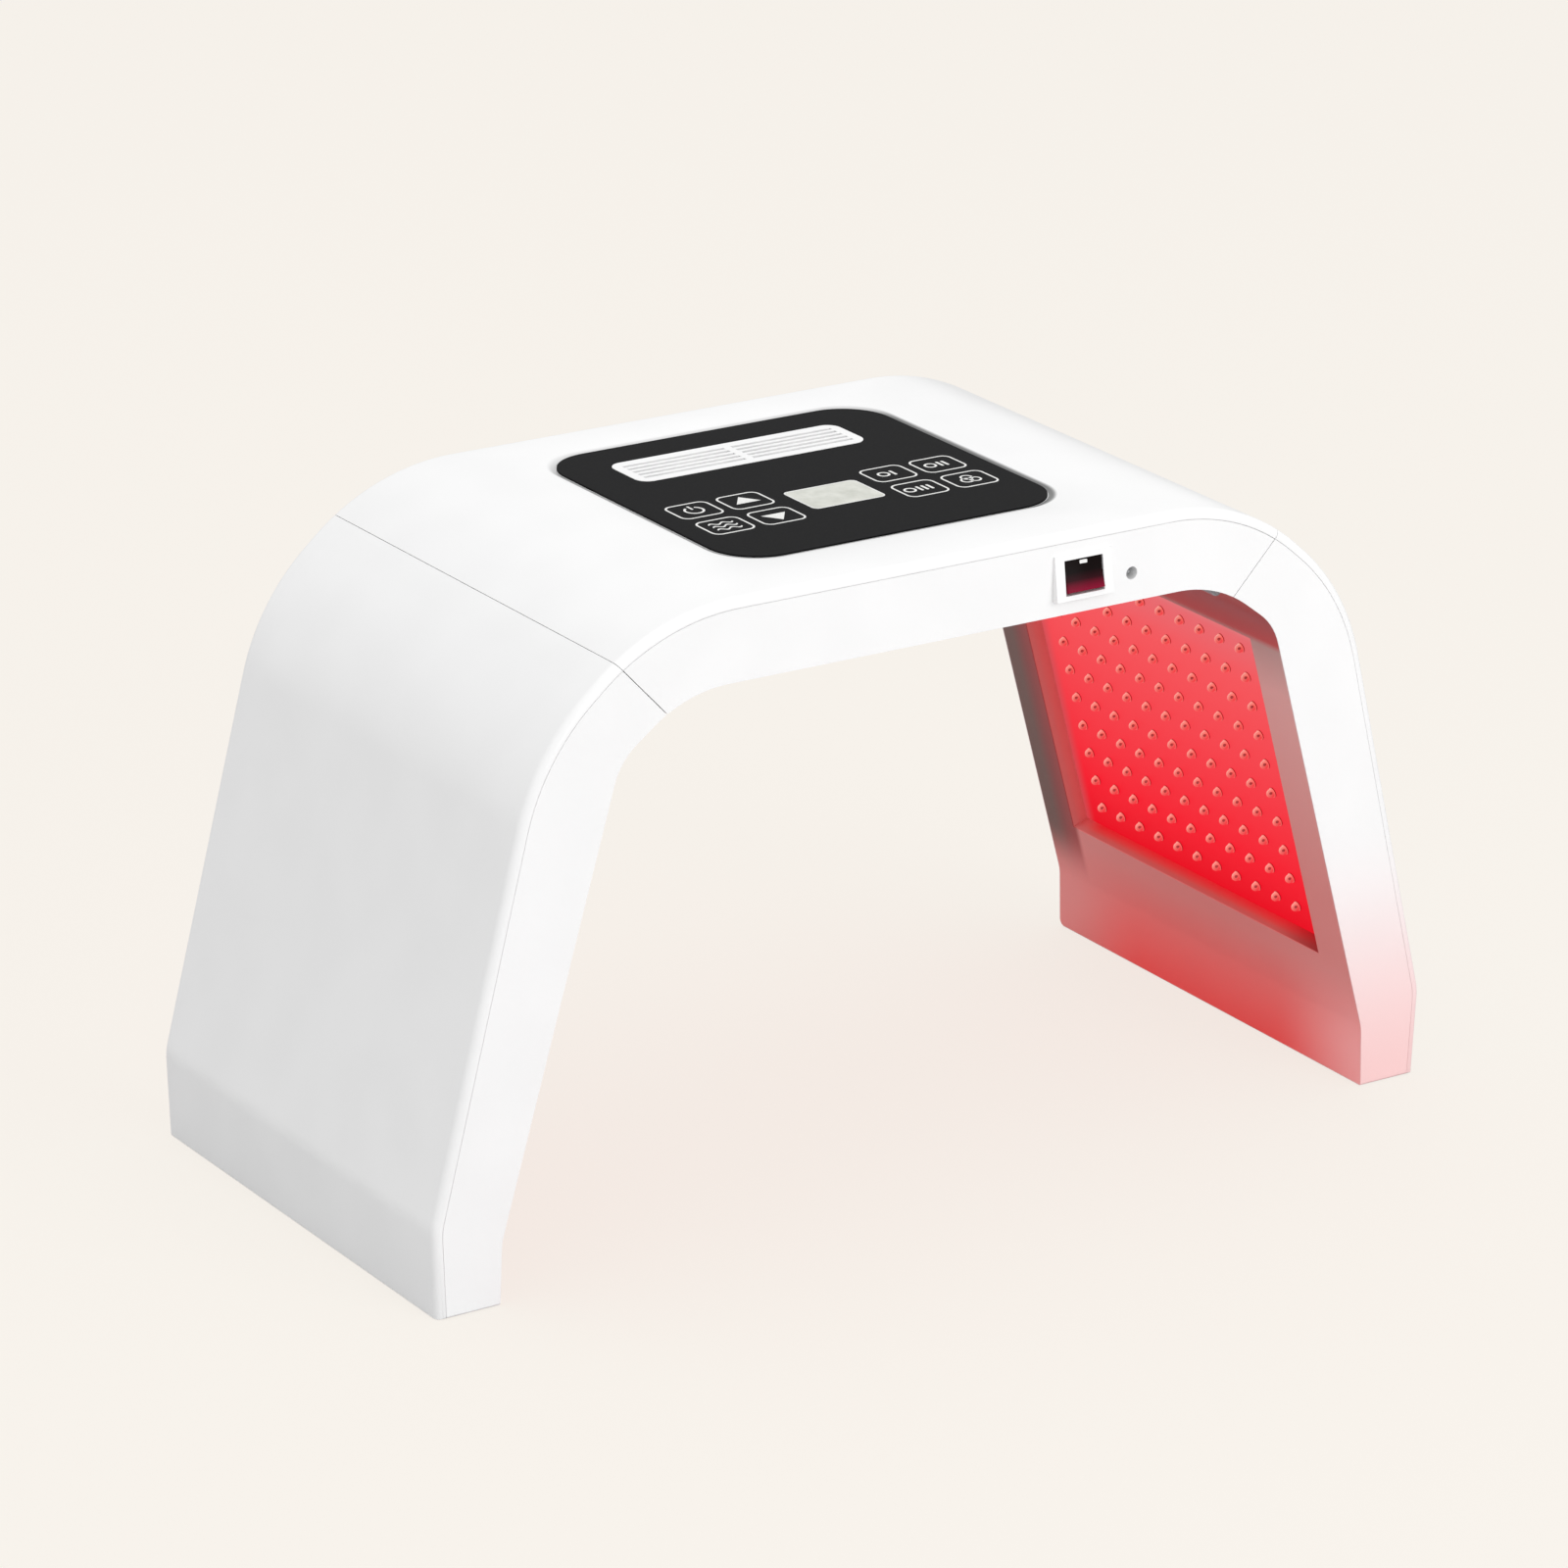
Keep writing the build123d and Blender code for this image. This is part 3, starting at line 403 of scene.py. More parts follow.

# %% White ABS with painted lamp light at the foot
# Painted light: the same moulding, with red lamp light painted onto its front and rear faces at
# the foot as a pale pink glow.
painted_pink_glow = "F8D0CF"
lit_abs, tree, shader, white = white_moulding("white ABS tinted at the foot", 0.05, Roughness=0.28)
at = lengths(tree)
painted_glow_at_foot = (painted_pink_glow, (away_from(tree, at["Y"]), 117, 123), (at["Z"], 0, 140, 1, 0))
feed(tree, shader, Base_Color=paint(tree, white, painted_glow_at_foot))
print(lit_abs.name)

# %% [markdown]
# The inner frames stand right beside the lamps. Their front and rear faces stay
# white. The lamp light and shade on their inner faces are painted into their
# colour: grey where they are far from the lamps, and red at the foot, where a
# faint painted red glow is added too.

# %% White ABS with painted lamp light: the lengths and the walls
inner_abs, tree, shader, white = white_moulding(
    "white ABS with painted lamp light", 0.05, Roughness=0.35, Specular_IOR_Level=0.2
)
at = lengths(tree)
leg_depth = outward(tree, at, leg_out)
past_seam = outward(tree, at, seam_normal)
in_light = (
    (away_from(tree, at["Y"]), 124.3, 124.8, 1, 0),
    (away_from(tree, past_seam, seam_point.dot(seam_normal)), 0.5, 1.0),
    (at["Z"], 0.5, 0.8),
    (at["Z"], 279.6, 280.2, 1, 0),
)
# Painted lamp light and shade up the inner faces: red at the foot, pale pink up the leg, deep red
# and then grey-pink at the shoulder.
painted_light_stops = (
    (0.0, "FF6E6C"),
    (0.2, "F0A4A0"),
    (0.36, "F0A6A2"),
    (0.75, "F8C8C4"),
    (0.836, "D4B4B0"),
    (0.848, "D45C5E"),
    (0.9, "B4585A"),
    (1.0, "AC8480"),
)
walls = fade(tree, at["Z"], 0, 275, *painted_light_stops)
# Painted shade along the rear strip, darker and greyer towards the rear edge.
painted_rear_shade_stops = (0.0, "AA5050"), (0.35, "905452"), (0.75, "74655E")
painted_rear_shade = fade(tree, at["Y"], 99, 125, *painted_rear_shade_stops, easing=eased)
# Painted lamp light on the walls of the board recess: pale at their outer edge, red next to the
# board, greyer at the rear, with painted shade at the front.
painted_recess_light_stops = (0.0, "D87C78"), (0.45, "F05E5C"), (1.0, "FF3440")
painted_recess_light = fade(tree, leg_depth, 238.9, 246.2, *painted_recess_light_stops, easing=eased)
painted_recess_light = paint(
    tree,
    painted_recess_light,
    ("E09492", (at["Y"], 84, 98, 0, 0.6)),
    ("9A1C24", (at["Y"], -101, -60, 0.75, 0)),
)
print("walls run from", painted_light_stops[0][1], "at the foot to", painted_light_stops[-1][1], "at the top")

# %% White ABS with painted lamp light: the zones
# The painted light, zone by zone: pale pink at the front of the foot, grey-pink at its rear, the
# rear shade, the recess walls, and red near the centre board.
foot_zone = (at["Z"], 15, 70, 1, 0)
inside = paint(
    tree,
    walls,
    ("FFCCCA", (at["Y"], -125, -55, 0.85, 0), foot_zone),
    ("E0B4B0", (at["Y"], 50, 120, 0, 0.7), foot_zone),
    (painted_rear_shade, (at["Y"], 96, 101, 0, 0.95), (at["Z"], 30, 60)),
    (painted_recess_light, (leg_depth, 238.7, 239.1), (at["Z"], 262, 264, 1, 0)),
    ("FF2438", (at["Z"], 271.6, 278.8)),
)
# Painted pink glow on the outer faces of the right frame at the foot, as on its cover.
outside = paint(tree, white, (painted_pink_glow, (at["X"], 0, 1), (at["Z"], 0, 140, 1, 0)))
# A faint painted red glow, as emission, on the inner faces at the foot.
painted_foot_glow = ("FF2028", *in_light, (at["Z"], 10, 70, 1, 0))
feed(
    tree,
    shader,
    Base_Color=paint(tree, outside, (inside, *in_light)),
    Emission_Color=paint(tree, "000000", painted_foot_glow),
    Emission_Strength=0.09,
)
print(inner_abs.name)

# %% [markdown]
# The control panel is a polyester film with a fine satin texture, printed black
# from behind and white for its symbols. The texture of a real film is about
# 0.1 mm, too fine to show here, so it is drawn at 0.6 mm.


# %% Satin black film and its white ink
def speckled(name, size_mm, darker, lighter, raised=None, spread=0.15, detail=2.0, **surface):
    """A finish of two near shades, raised by a depth in millimetres and a strength if given."""
    made, tree, shader = finish(name, **surface)
    pattern = waver(tree, shader, size_mm, darker, lighter, spread, detail)[0]
    if raised:
        relief(tree, shader, pattern, *raised)
    return made


satin = {"Roughness": 0.5, "IOR": 1.5, "Specular_IOR_Level": 0.02}
# Textured film: deep black with hardly a highlight.
black_film = speckled(
    "satin black polyester film", 0.6, "151516", "1B1B1C", (0.02, 0.1), **satin
)
# Screen print: a dull, even white.
white_ink = speckled("white screen ink", 0.8, "E2E2E0", "EFEFED", Roughness=0.5)
print("panel finishes made")

# %% [markdown]
# The display is a liquid crystal module that is off: pale grey-green glass with
# soft cloudy reflections painted into its colour, behind a clear polished window.

# %% Unlit liquid crystal glass
# The cloudy patches in the colour of the glass are painted reflections.
cloudy = {"spread": 0.2, "detail": 3.0, "Roughness": 0.18, "IOR": 1.5}
display_glass = speckled("unlit liquid crystal glass", 9.0, "BDBFB4", "DADBD2", **cloudy)
print(display_glass.name)

# %% [markdown]
# The lamp boards carry a white mask. With the lamps on, its red light is painted
# on as a glow of the board itself, paler towards the top and a little deeper
# towards the foot, with painted shade at the front and rear edges.
# The lenses are clear acrylic domes. Each is lit from inside, paler than the
# board, with a painted highlight on its upper rear side and a dark dot where the
# eye looks straight in.

# %% Lamp board
lit_board, tree, shader = finish(
    "white mask with painted red lamp glow",
    Base_Color="5A0608",
    Roughness=0.6,
    Specular_IOR_Level=0.15,
    Emission_Strength=0.85,
)
at = lengths(tree)
# Painted lamp light: the glow is deep red at the foot and paler towards the top, with painted
# shade at the rear and front edges.
painted_glow_stops = (
    (0.07, "F00820"),
    (0.18, "FF1C30"),
    (0.36, "FF3C48"),
    (0.62, "FE5A60"),
    (0.72, "F07076"),
    (0.755, "DC9090"),
    (0.8, "FE3C48"),
)
glow = paint(
    tree,
    fade(tree, at["Z"], 50, 290, *painted_glow_stops),
    ("C85A60", (at["Y"], 90, 101, 0, 0.8)),
    ("C0202C", (at["Y"], -101, -93, 0.5, 0)),
)
board_front = ((outward(tree, at, leg_out), 246.2, 246.6, 1, 0), (at["Z"], 278.9, 279.3, 1, 0))
feed(tree, shader, Emission_Color=paint(tree, "000000", (glow, *board_front)))
print(lit_board.name)

# %% Lens and its flange
# Clear domes over the board's painted glow, lit from inside: a painted highlight makes them palest
# on the upper rear side, with a dark dot.
lens_acrylic, tree, shader = finish(
    "clear acrylic lens, lit red",
    Base_Color="B83432",
    Roughness=0.12,
    IOR=1.49,
    Emission_Strength=0.6,
)
facing = node(tree, "TexCoord").outputs["Normal"]
toward_light = node(tree, "VectorMath", dot, Vector=facing, Vector_001=(0, 0.85, 0.53))
edge_on = node(tree, "LayerWeight", Blend=0.5).outputs["Facing"]
painted_highlight_stops = (0.0, "F04A50"), (0.3, "FF7C74"), (0.65, "FFA698"), (1.0, "FFDCCC")
# The painted highlight and the dot go by how the dome is turned, so their limits are thousandths
# of a share.
around = fade(tree, toward_light.outputs["Value"], -1000, 1000, *painted_highlight_stops)
feed(tree, shader, Emission_Color=paint(tree, around, ("4C0A0E", (edge_on, 25, 75, 1, 0))))
# The flange lies between the domes: plain deep red, a painted shade that rings each dome.
lens_rim = speckled("acrylic flange with painted shade", 0.8, "C01828", "CC2030", Roughness=0.3, IOR=1.49)
print(lens_acrylic.name, "and", lens_rim.name)

# %% [markdown]
# The remaining finishes are small parts: zinc-plated screws, brushed hinge
# leaves, ground pins, turned brass, black nylon for the switches, pale acetal
# for fans and keys, green circuit board, and rubber pads. Real grains of
# 0.1 mm or less are drawn about 1 mm across, so that they show at all.

# %% Metals
# Plated and tumbled: a grey, slightly cloudy shine.
zinc = speckled("zinc-plated steel", 1.5, "A9ABAE", "BEC0C2", Metallic=1.0, Roughness=0.38)
# Ground: the brightest metal here, with sharp reflections.
ground_steel = speckled("ground pin steel", 0.8, "C4C6C8", "D2D4D6", Metallic=1.0, Roughness=0.2)
# Turned: warm yellow with a soft shine.
brass = speckled("turned brass", 1.0, "C9A24E", "D8B465", Metallic=1.0, Roughness=0.3)
# Brushed along the hinge: fine lines that spread the highlights across them.
brushed, tree, shader = finish("brushed hinge steel", Metallic=1.0)
lines = waver(tree, shader, 0.6, "9C9EA1", "B6B8BB", detail=3.0, stretch=(1.0, 0.04, 1.0))[0]
rough = node(tree, "MapRange", Value=lines, To_Min=0.28, To_Max=0.45).outputs["Result"]
feed(tree, shader, Roughness=rough)
print("metals made")

# %% Plastics, board and rubber
# Nylon from an eroded tool: a dull black with a fine grain.
nylon = {"Roughness": 0.5, "IOR": 1.5}
black_nylon = speckled("black moulded nylon", 1.2, "161616", "1E1E1E", (0.03, 0.15), **nylon)
# Undyed acetal: waxy and off-white.
acetal = speckled("natural moulded acetal", 1.2, "DEDDD6", "E6E5DF", Roughness=0.4, IOR=1.48)
# Solder mask over glass weave: glossy dark green.
green_mask = speckled("green solder mask", 0.7, "0E4A28", "14582F", Roughness=0.3, IOR=1.5)
# Rubber: matt black, with a grain that can be felt.
grippy = {"Roughness": 0.75, "IOR": 1.5}
rubber = speckled("black moulded rubber", 0.9, "1B1B1B", "262626", (0.08, 0.3), **grippy)
print("plastics made")

# %% [markdown]
# The rocker is a translucent dark red moulding. With the switch off hardly any
# light comes through. Its shade is painted on: nearly black at the top, where it
# tips in, and a deep red at the bottom, where it catches the light.

# %% Dark red rocker
rocker_red, tree, shader = finish(
    "translucent dark red polycarbonate", Roughness=0.3, IOR=1.58, Specular_IOR_Level=0.04
)
# Painted shade and light: nearly black at the top of the rocker, deep red at the bottom.
painted_rocker_shade_stops = (0.0, "861030"), (0.5, "300C14"), (0.9, "100808")
painted_rocker_shade = fade(tree, lengths(tree)["Z"], 281.5, 294, *painted_rocker_shade_stops, easing=eased)
feed(tree, shader, Base_Color=painted_rocker_shade)
print(rocker_red.name)

# %% [markdown]
# The covers are one long curved skin that two seams cut into three. On the real
# part it is a 3 mm wall with a rounded front and rear edge and a short lip down
# each side. Here its cross-section is drawn once at the middle of the top, then
# pulled straight along each run and spun around the centre of each corner, as a
# sweep by hand. That keeps the radius of every bend true.

# %% The cross-section of the skin
wall = 3.0
lip = 2.2
lip_depth = 4.55
edge_radius = 4.0


def corner_arc(middle_y, start, end, steps=8):
    """Points of a rounded edge in the YZ plane, at x 0, between two angles."""
    angles = [math.radians(start + (end - start) * i / steps) for i in range(steps + 1)]
    middle_z = top - edge_radius
    return [
        (0, middle_y + edge_radius * math.cos(a), middle_z + edge_radius * math.sin(a))
        for a in angles
    ]


inner_y = half_depth - lip
round_y = half_depth - edge_radius
under, brim = top - wall, top - lip_depth
section = [(0, inner_y, under), (0, inner_y, brim), (0, half_depth, brim)]
section += corner_arc(round_y, 0, 90) + corner_arc(-round_y, 90, 180)
section += [(0, -half_depth, brim), (0, -inner_y, brim), (0, -inner_y, under)]
section.append(section[0])
print(len(section) - 1, "points around the section")


# %% The runs and bends that the section follows
def moves(corners, radii):
    """Turns an outline into runs (a step, no angle) and bends (a centre and an angle)."""
    points = [Vector((x, 0, z)) for x, z in corners]
    found = []
    here = points[0]
    for before, corner, after, radius in zip(points, points[1:], points[2:], radii):
        come = (corner - before).normalized()
        go = (after - corner).normalized()
        angle = come.angle(go)
        reach = radius * math.tan(angle / 2)
        start = corner - come * reach
        inward = Vector((come.z, 0, -come.x))
        side = 1 if inward.dot(go) > 0 else -1
        found.append((start - here, 0))
        found.append((start + inward * radius * side, angle * side))
        here = corner + go * reach
    found.append((points[-1] - here + (points[-1] - points[-2]).normalized(), 0))
    return found


sweep = moves(outline, outline_radii)
print([round(math.degrees(angle), 1) for where, angle in sweep if angle], "degrees of bend")

# %% Sweep the section and mirror it
degrees_a_step = 1.5
skin = draw("skin", section)
weld()
grab("EDGE")
for where, angle in sweep:
    if angle:
        steps = max(4, round(abs(math.degrees(angle)) / degrees_a_step))
        bpy.ops.mesh.spin(steps=steps, angle=-angle, center=where * MM, axis=(0, 1, 0))
    else:
        pull(*where)
let_go()
use(skin, "MIRROR", use_axis=(True, False, False), merge_threshold=0.01 * MM)
tidy(skin)
print("skin is", [round(v / MM, 2) for v in skin.dimensions], "mm")

# %% [markdown]
# A plane cuts the swept skin at the feet and at both seams, and closes each cut,
# as a saw would on a solid model of it. The real sections are moulded apart, with
# a narrow gap where they meet, which shows as a thin grey line.


# %% Cut the skin into its three covers
def trim(piece, point, away):
    """Cuts a piece with a plane, drops the side that away points to, and closes the cut."""
    edit(piece)
    bpy.ops.mesh.select_all(action="SELECT")
    bpy.ops.mesh.bisect(
        plane_co=Vector(point) * MM, plane_no=away, use_fill=True, clear_outer=True
    )
    let_go()


def copy(piece, name):
    """A copy of a piece with its own mesh."""
    take(piece)
    bpy.ops.object.duplicate()
    made = bpy.context.object
    made.name = name
    made.data.name = name
    return made


def join(pieces, name):
    """Joins pieces into the first one."""
    take(*pieces)
    if len(pieces) > 1:
        bpy.ops.object.join()
    pieces[0].name = name
    return pieces[0]


half_gap = 0.12
mirrored = Vector((-1, 1, 1))
left_point, left_normal = seam_point * mirrored, seam_normal * mirrored
trim(skin, (0, 0, foot_level), (0, 0, -1))
top_shell, right_shell, left_shell = (
    copy(skin, side + "_shell") for side in ("top", "right", "left")
)
for shell, point, away in (
    (top_shell, seam_point, seam_normal),
    (top_shell, left_point, left_normal),
    (right_shell, seam_point, -seam_normal),
    (left_shell, left_point, -left_normal),
):
    trim(shell, point - away * half_gap, away)
drop(skin)
for shell in (top_shell, right_shell, left_shell):
    tidy(shell)
    print(shell.name, len(shell.data.polygons), "faces")

# %% [markdown]
# The control panel sits in a recess 1 mm deep with round corners and a sloped
# rim, with painted shade on the rim, so the film seems to have a soft grey
# outline. The floor of the recess is open under the vent, the display and the
# eight keys. Each opening is cut with a plate or bar of its own shape.


# %% Helpers for a round bar and a cut
def rod(name, radius, height, sides=24, edge=0.0):
    """A round bar standing on the origin, with its upper edge eased."""
    let_go()
    bpy.ops.mesh.primitive_circle_add(vertices=sides, radius=radius * MM, fill_type="NGON")
    piece = bpy.context.object
    piece.name = name
    bpy.ops.object.mode_set(mode="EDIT")
    grab()
    pull(0, 0, height - edge)
    if edge:
        pull(0, 0, edge)
        bpy.ops.transform.resize(value=(1 - edge / radius, 1 - edge / radius, 1))
    let_go()
    return piece


def cut(piece, cutter, spot=(0, 0, 0)):
    """Cuts a piece with another one, set at a spot, which is used up."""
    place(cutter, spot)
    use(piece, "BOOLEAN", operation="DIFFERENCE", object=cutter, solver="EXACT")
    drop(cutter)


print("can turn and cut")

# %% Cut the panel recess and slope its rim
panel_y = 4.4
recess_floor = 309.0
recess_length = 181.0
recess_width = 174.6
recess_corner = 25.3
rim_width = 3.2


def over_recess(point, spare):
    """Whether a point lies over the recess, or up to some millimetres outside it."""
    return (
        abs(point.x) < (recess_length / 2 + spare) * MM
        and abs(point.y - panel_y * MM) < (recess_width / 2 + spare) * MM
    )


sink = plate("cutter", recess_length, recess_width, recess_corner, 2, 12)
cut(top_shell, sink, (0, panel_y, recess_floor))
edit(top_shell)
found = pick(
    top_shell,
    lambda point: point.co.z > (top - 0.01) * MM and over_recess(point.co, 0.1),
    "vertices",
)
wider = (1 + 2 * rim_width / recess_length, 1 + 2 * rim_width / recess_width, 1)
bpy.ops.transform.resize(value=wider, center_override=(0, panel_y * MM, top * MM))
let_go()
print("slope drawn from", found, "points of the recess")

# %% Cut the openings of the recess floor
grille_x, grille_y = -2.4, 54.0
display_x, display_y = 1.2, -21.8
keys = {
    "power": (-67.0, -8.5),
    "up": (-39.4, -8.5),
    "infrared": (-67.0, -34.7),
    "down": (-39.4, -34.7),
    "red": (39.4, -8.5),
    "green": (67.0, -8.5),
    "blue": (39.4, -34.7),
    "mix": (67.0, -34.7),
}
below_wall = 306.5
cutter_height = 4.0
key_hole_radius = 3.9
vent_hole = plate("cutter", 120, 25.9, 0, cutter_height)
cut(top_shell, vent_hole, (grille_x, grille_y, below_wall))
display_hole = plate("cutter", 36.8, 25.5, 1, cutter_height)
cut(top_shell, display_hole, (display_x, display_y, below_wall))
for x, y in keys.values():
    cut(top_shell, rod("cutter", key_hole_radius, cutter_height), (x, y, below_wall))
tidy(top_shell)
print("top shell", len(top_shell.data.polygons), "faces")

# %% [markdown]
# Inside the top cover stand four screw bosses and four pegs for the keypad board.
# They are turned shapes: a circle pulled up, inset for the bore and pushed in.


# %% Bosses and pegs
def screw_boss(name, height, bore_depth):
    """A round boss with a screw hole from below."""
    made = rod(name, 4.0, height, 20)
    edit(made, "FACE")
    pick(made, lambda face: face.center.z < 0.001 * MM)
    bpy.ops.mesh.inset(thickness=2.5 * MM)
    pull(0, 0, bore_depth)
    let_go()
    return made


def repeat(piece, name, spots, turn=None):
    """Copies a piece to each spot, joins the copies and drops the first one."""
    made = join([place(copy(piece, name), spot, turn) for spot in spots], name)
    drop(piece)
    return made


def four(x, y, z, middle_y=0.0):
    """Four spots around the middle of a side of the part."""
    return [(x * sx, middle_y + y * sy, z) for sx in (-1, 1) for sy in (-1, 1)]


upside_down = Matrix.Rotation(math.pi, 4, "X")
cover_screw = 112.0
boss_spots = four(cover_screw, cover_screw, 276.2)
bosses = repeat(screw_boss("screw_boss", 31.0, 14), "screw_bosses", boss_spots)
peg = join([rod("board_peg", 1.2, 7.4, 12, 0.3), rod("peg_body", 2.6, 5.0, 16, 0.3)], "board_peg")
pegs = repeat(peg, "board_pegs", four(77, 23, top - wall, display_y), upside_down)
top_shell = join([top_shell, bosses, pegs], "top_shell")
smooth(top_shell)
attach(top_shell, "center")
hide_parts("top_cover")
print(top_shell.name, "rides on center")

# %% [markdown]
# The rear edge of each sole is rounded by 4 mm, and the front edge is just eased.
# The inner frames are taken over from the CAD model, joined up where its
# triangles meet, and get the same rounding as the covers, so that the two halves
# of a foot end flush.

# %% Ease the soles
sole_radius = {-1: 1.2, 1: 4.0}


def ease_sole(piece):
    """Rounds the front and rear edges of a sole with three cuts each."""
    for sy, radius in sole_radius.items():
        centre = Vector((0, sy * (half_depth - radius), foot_level + radius))
        for degrees in (22.5, 45, 67.5):
            a = math.radians(degrees)
            away = Vector((0, sy * math.cos(a), -math.sin(a)))
            trim(piece, centre + away * radius, away)


for side in ("right", "left"):
    inner = copy(nodes[side + "_inner_frame"], side + "_inner_shell")
    edit(inner)
    weld()
    ease_sole(inner)
    take(inner)
    bpy.ops.mesh.customdata_custom_splitnormals_clear()
    smooth(inner, 20)
    dress(inner, inner_abs)
    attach(inner, side + "_wing")
    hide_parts(side + "_inner_frame")
    print(inner.name, len(inner.data.polygons), "faces")
for shell in (right_shell, left_shell):
    ease_sole(shell)
    tidy(shell)

# %% [markdown]
# The screws of each foot go up into two bosses inside the outer cover, held to
# its wall by a web.

# %% Bosses in the feet
boss_height = 13.2
foot_screw_x, foot_screw_y = 263.7, 92.0
for wing, side, shell in (("right", 1, right_shell), ("left", -1, left_shell)):
    web = place(plate("web", 3.0, 4.0, 0.3, boss_height), (5.3 * side, 0, 0))
    foot_boss = join([screw_boss("foot_boss", boss_height, 11), web], "foot_boss")
    spots = [(foot_screw_x * side, foot_screw_y * sy, 5.9) for sy in (-1, 1)]
    shell = join([shell, repeat(foot_boss, "foot_bosses", spots)], shell.name)
    smooth(shell)
    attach(shell, wing + "_wing")
    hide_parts(wing + "_outer_cover")
print("outer covers done")

# %% [markdown]
# The print on the control film is ink about 0.05 mm thick. Each key has a rounded
# outline 23 by 20.5 mm, drawn once as a plate, inset to a line and copied.

# %% Key outlines
film_top = 309.8
ink = 0.05
print_shift = 0.5
print_sharp = 35


def ring(name, length, width, corner, line):
    """A flat printed line along a rounded rectangle."""
    piece = plate(name, length, width, corner, 0, 8)
    edit(piece)
    grab("FACE")
    bpy.ops.mesh.inset(thickness=line * MM)
    bpy.ops.mesh.delete(type="FACE")
    grab("FACE")
    pull(0, 0, ink)
    let_go()
    return piece


outline_print = ring("key_outline", 23, 20.5, 4.5, 1.0)
for key, (x, y) in keys.items():
    mark = place(copy(outline_print, key + "_key_outline"), (x + print_shift, y, film_top))
    dress(mark, white_ink)
    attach(mark, "center")
drop(outline_print)
print(len(keys), "key outlines")

# %% [markdown]
# Each key gets a plain symbol: a power sign, up and down arrows, heat waves, a
# lamp with one, two or three bars, and three circles for mixed light.


# %% Lines for the key symbols
def arc_ring(name, radius, line, start=0.0, end=360.0, steps=32, rise=ink):
    """An arc with a flat top: a short radial line, spun round the origin and pulled up."""
    a = math.radians(start)
    out = Vector((math.cos(a), math.sin(a), 0))
    piece = draw(name, [out * (radius - line), out * radius])
    grab("EDGE")
    turn = -math.radians(end - start)
    bpy.ops.mesh.spin(steps=steps, angle=turn, center=(0, 0, 0), axis=(0, 0, 1))
    weld()
    pull(0, 0, rise)
    let_go()
    return piece


def wave(name, length, height, line, steps=18):
    """A flat wavy line along X."""
    points = [
        (length * (i / steps - 0.5), height * math.sin(4 * math.pi * i / steps), 0)
        for i in range(steps + 1)
    ]
    piece = draw(name, points)
    grab("EDGE")
    pull(0, line, 0)
    grab("EDGE")
    pull(0, 0, ink)
    let_go()
    return piece


def arrow(name, width, turn):
    """A filled triangle, a little flatter than an equal-sided one."""
    piece = rod(name, width / math.sqrt(3), ink, 3)
    flatter = Matrix.Diagonal((1, 0.8, 1, 1))
    return place(piece, turn=Matrix.Rotation(turn, 4, "Z") @ flatter)


print("can draw symbols")

# %% Key symbols
bar_step = 2.9


def lamp_sign(name, bars):
    """A ring with a row of bars beside it."""
    start = -bar_step * bars / 2
    bar_spots = [(start + 4.0 + bar_step * i, 0, 0) for i in range(bars)]
    lamp = place(arc_ring(name, 3.2, 1.1), (start - 1.2, 0, 0))
    return join([lamp, repeat(plate("bar", 1.4, 6.4, 0.5, ink, 3), "bars", bar_spots)], name)


power_bar = place(plate("bar", 1.1, 5.0, 0.4, ink, 3), (0, 3.8, 0))
signs = {"power": join([arc_ring("power_sign", 5.0, 1.1, -240, 60), power_bar], "power_sign")}
wave_spots = [(0, lift, 0) for lift in (-4.6, -0.6, 3.4)]
signs["infrared"] = repeat(wave("wave", 13, 1.1, 1.2), "infrared_sign", wave_spots)
thirds = [math.radians(degrees) for degrees in (90, 210, 330)]
circle_spots = [(2.5 * math.cos(a), 2.5 * math.sin(a), 0) for a in thirds]
signs["mix"] = repeat(arc_ring("circle", 3.3, 1.0), "mix_sign", circle_spots)
signs["up"] = arrow("up_sign", 13, 0)
signs["down"] = arrow("down_sign", 13, math.pi)
for bars, key in enumerate(("red", "green", "blue"), 1):
    signs[key] = lamp_sign(key + "_sign", bars)
for key, sign in signs.items():
    x, y = keys[key]
    dress(tidy(place(sign, (x + print_shift, y, film_top)), print_sharp), white_ink)
    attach(sign, "center")
print(sorted(signs))

# %% [markdown]
# The display shows as a pale pane with round corners inside a thin white line.
# Outside that line the window is printed black from behind, like the film.

# %% Display pane and its line
display_at = (display_x, display_y, film_top)
pane_line = place(ring("display_line", 39.8, 28.5, 3.2, 0.9), display_at)
pane = place(plate("display_pane", 37.9, 26.6, 2.4, 0.06, 6, 0.02), display_at)
for piece, surface, slot in (
    (pane_line, white_ink, "display_window"),
    (pane, display_glass, "display_glass"),
):
    dress(tidy(piece, print_sharp), surface)
    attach(piece, "center")
print(pane.name, "and", pane_line.name)

# %% [markdown]
# The lamps are 5 mm LEDs with a clear domed lens on a small flange. The profile
# of one is spun round its axis, and two arrays set 110 of them on each board, ten
# along the section and eleven across it, 16 mm apart.

# %% One lamp, repeated over a board
lamp_pitch = 16.0
along_count, across_count = 10, 11
flange_radius = 2.6
flange_top = 0.4
dome_radius, dome_foot, dome_rise = 2.15, 1.5, 2.05
profile = [(flange_radius, 0, 0), (flange_radius, 0, 0.5), (2.2, 0, 0.7)]
profile += [
    (dome_radius * math.cos(a), 0, dome_foot + dome_rise * math.sin(a)) for a in (0, 0.5, 1.05)
]
lens = draw("lens", [*profile, (0, 0, dome_foot + dome_rise)])
grab("EDGE")
bpy.ops.mesh.spin(steps=10, angle=-2 * math.pi, center=(0, 0, 0), axis=(0, 0, 1))
dress(tidy(lens, 50), lens_acrylic, lens_rim)
edit(lens, "FACE")
pick(lens, lambda face: face.center.z < flange_top * MM)
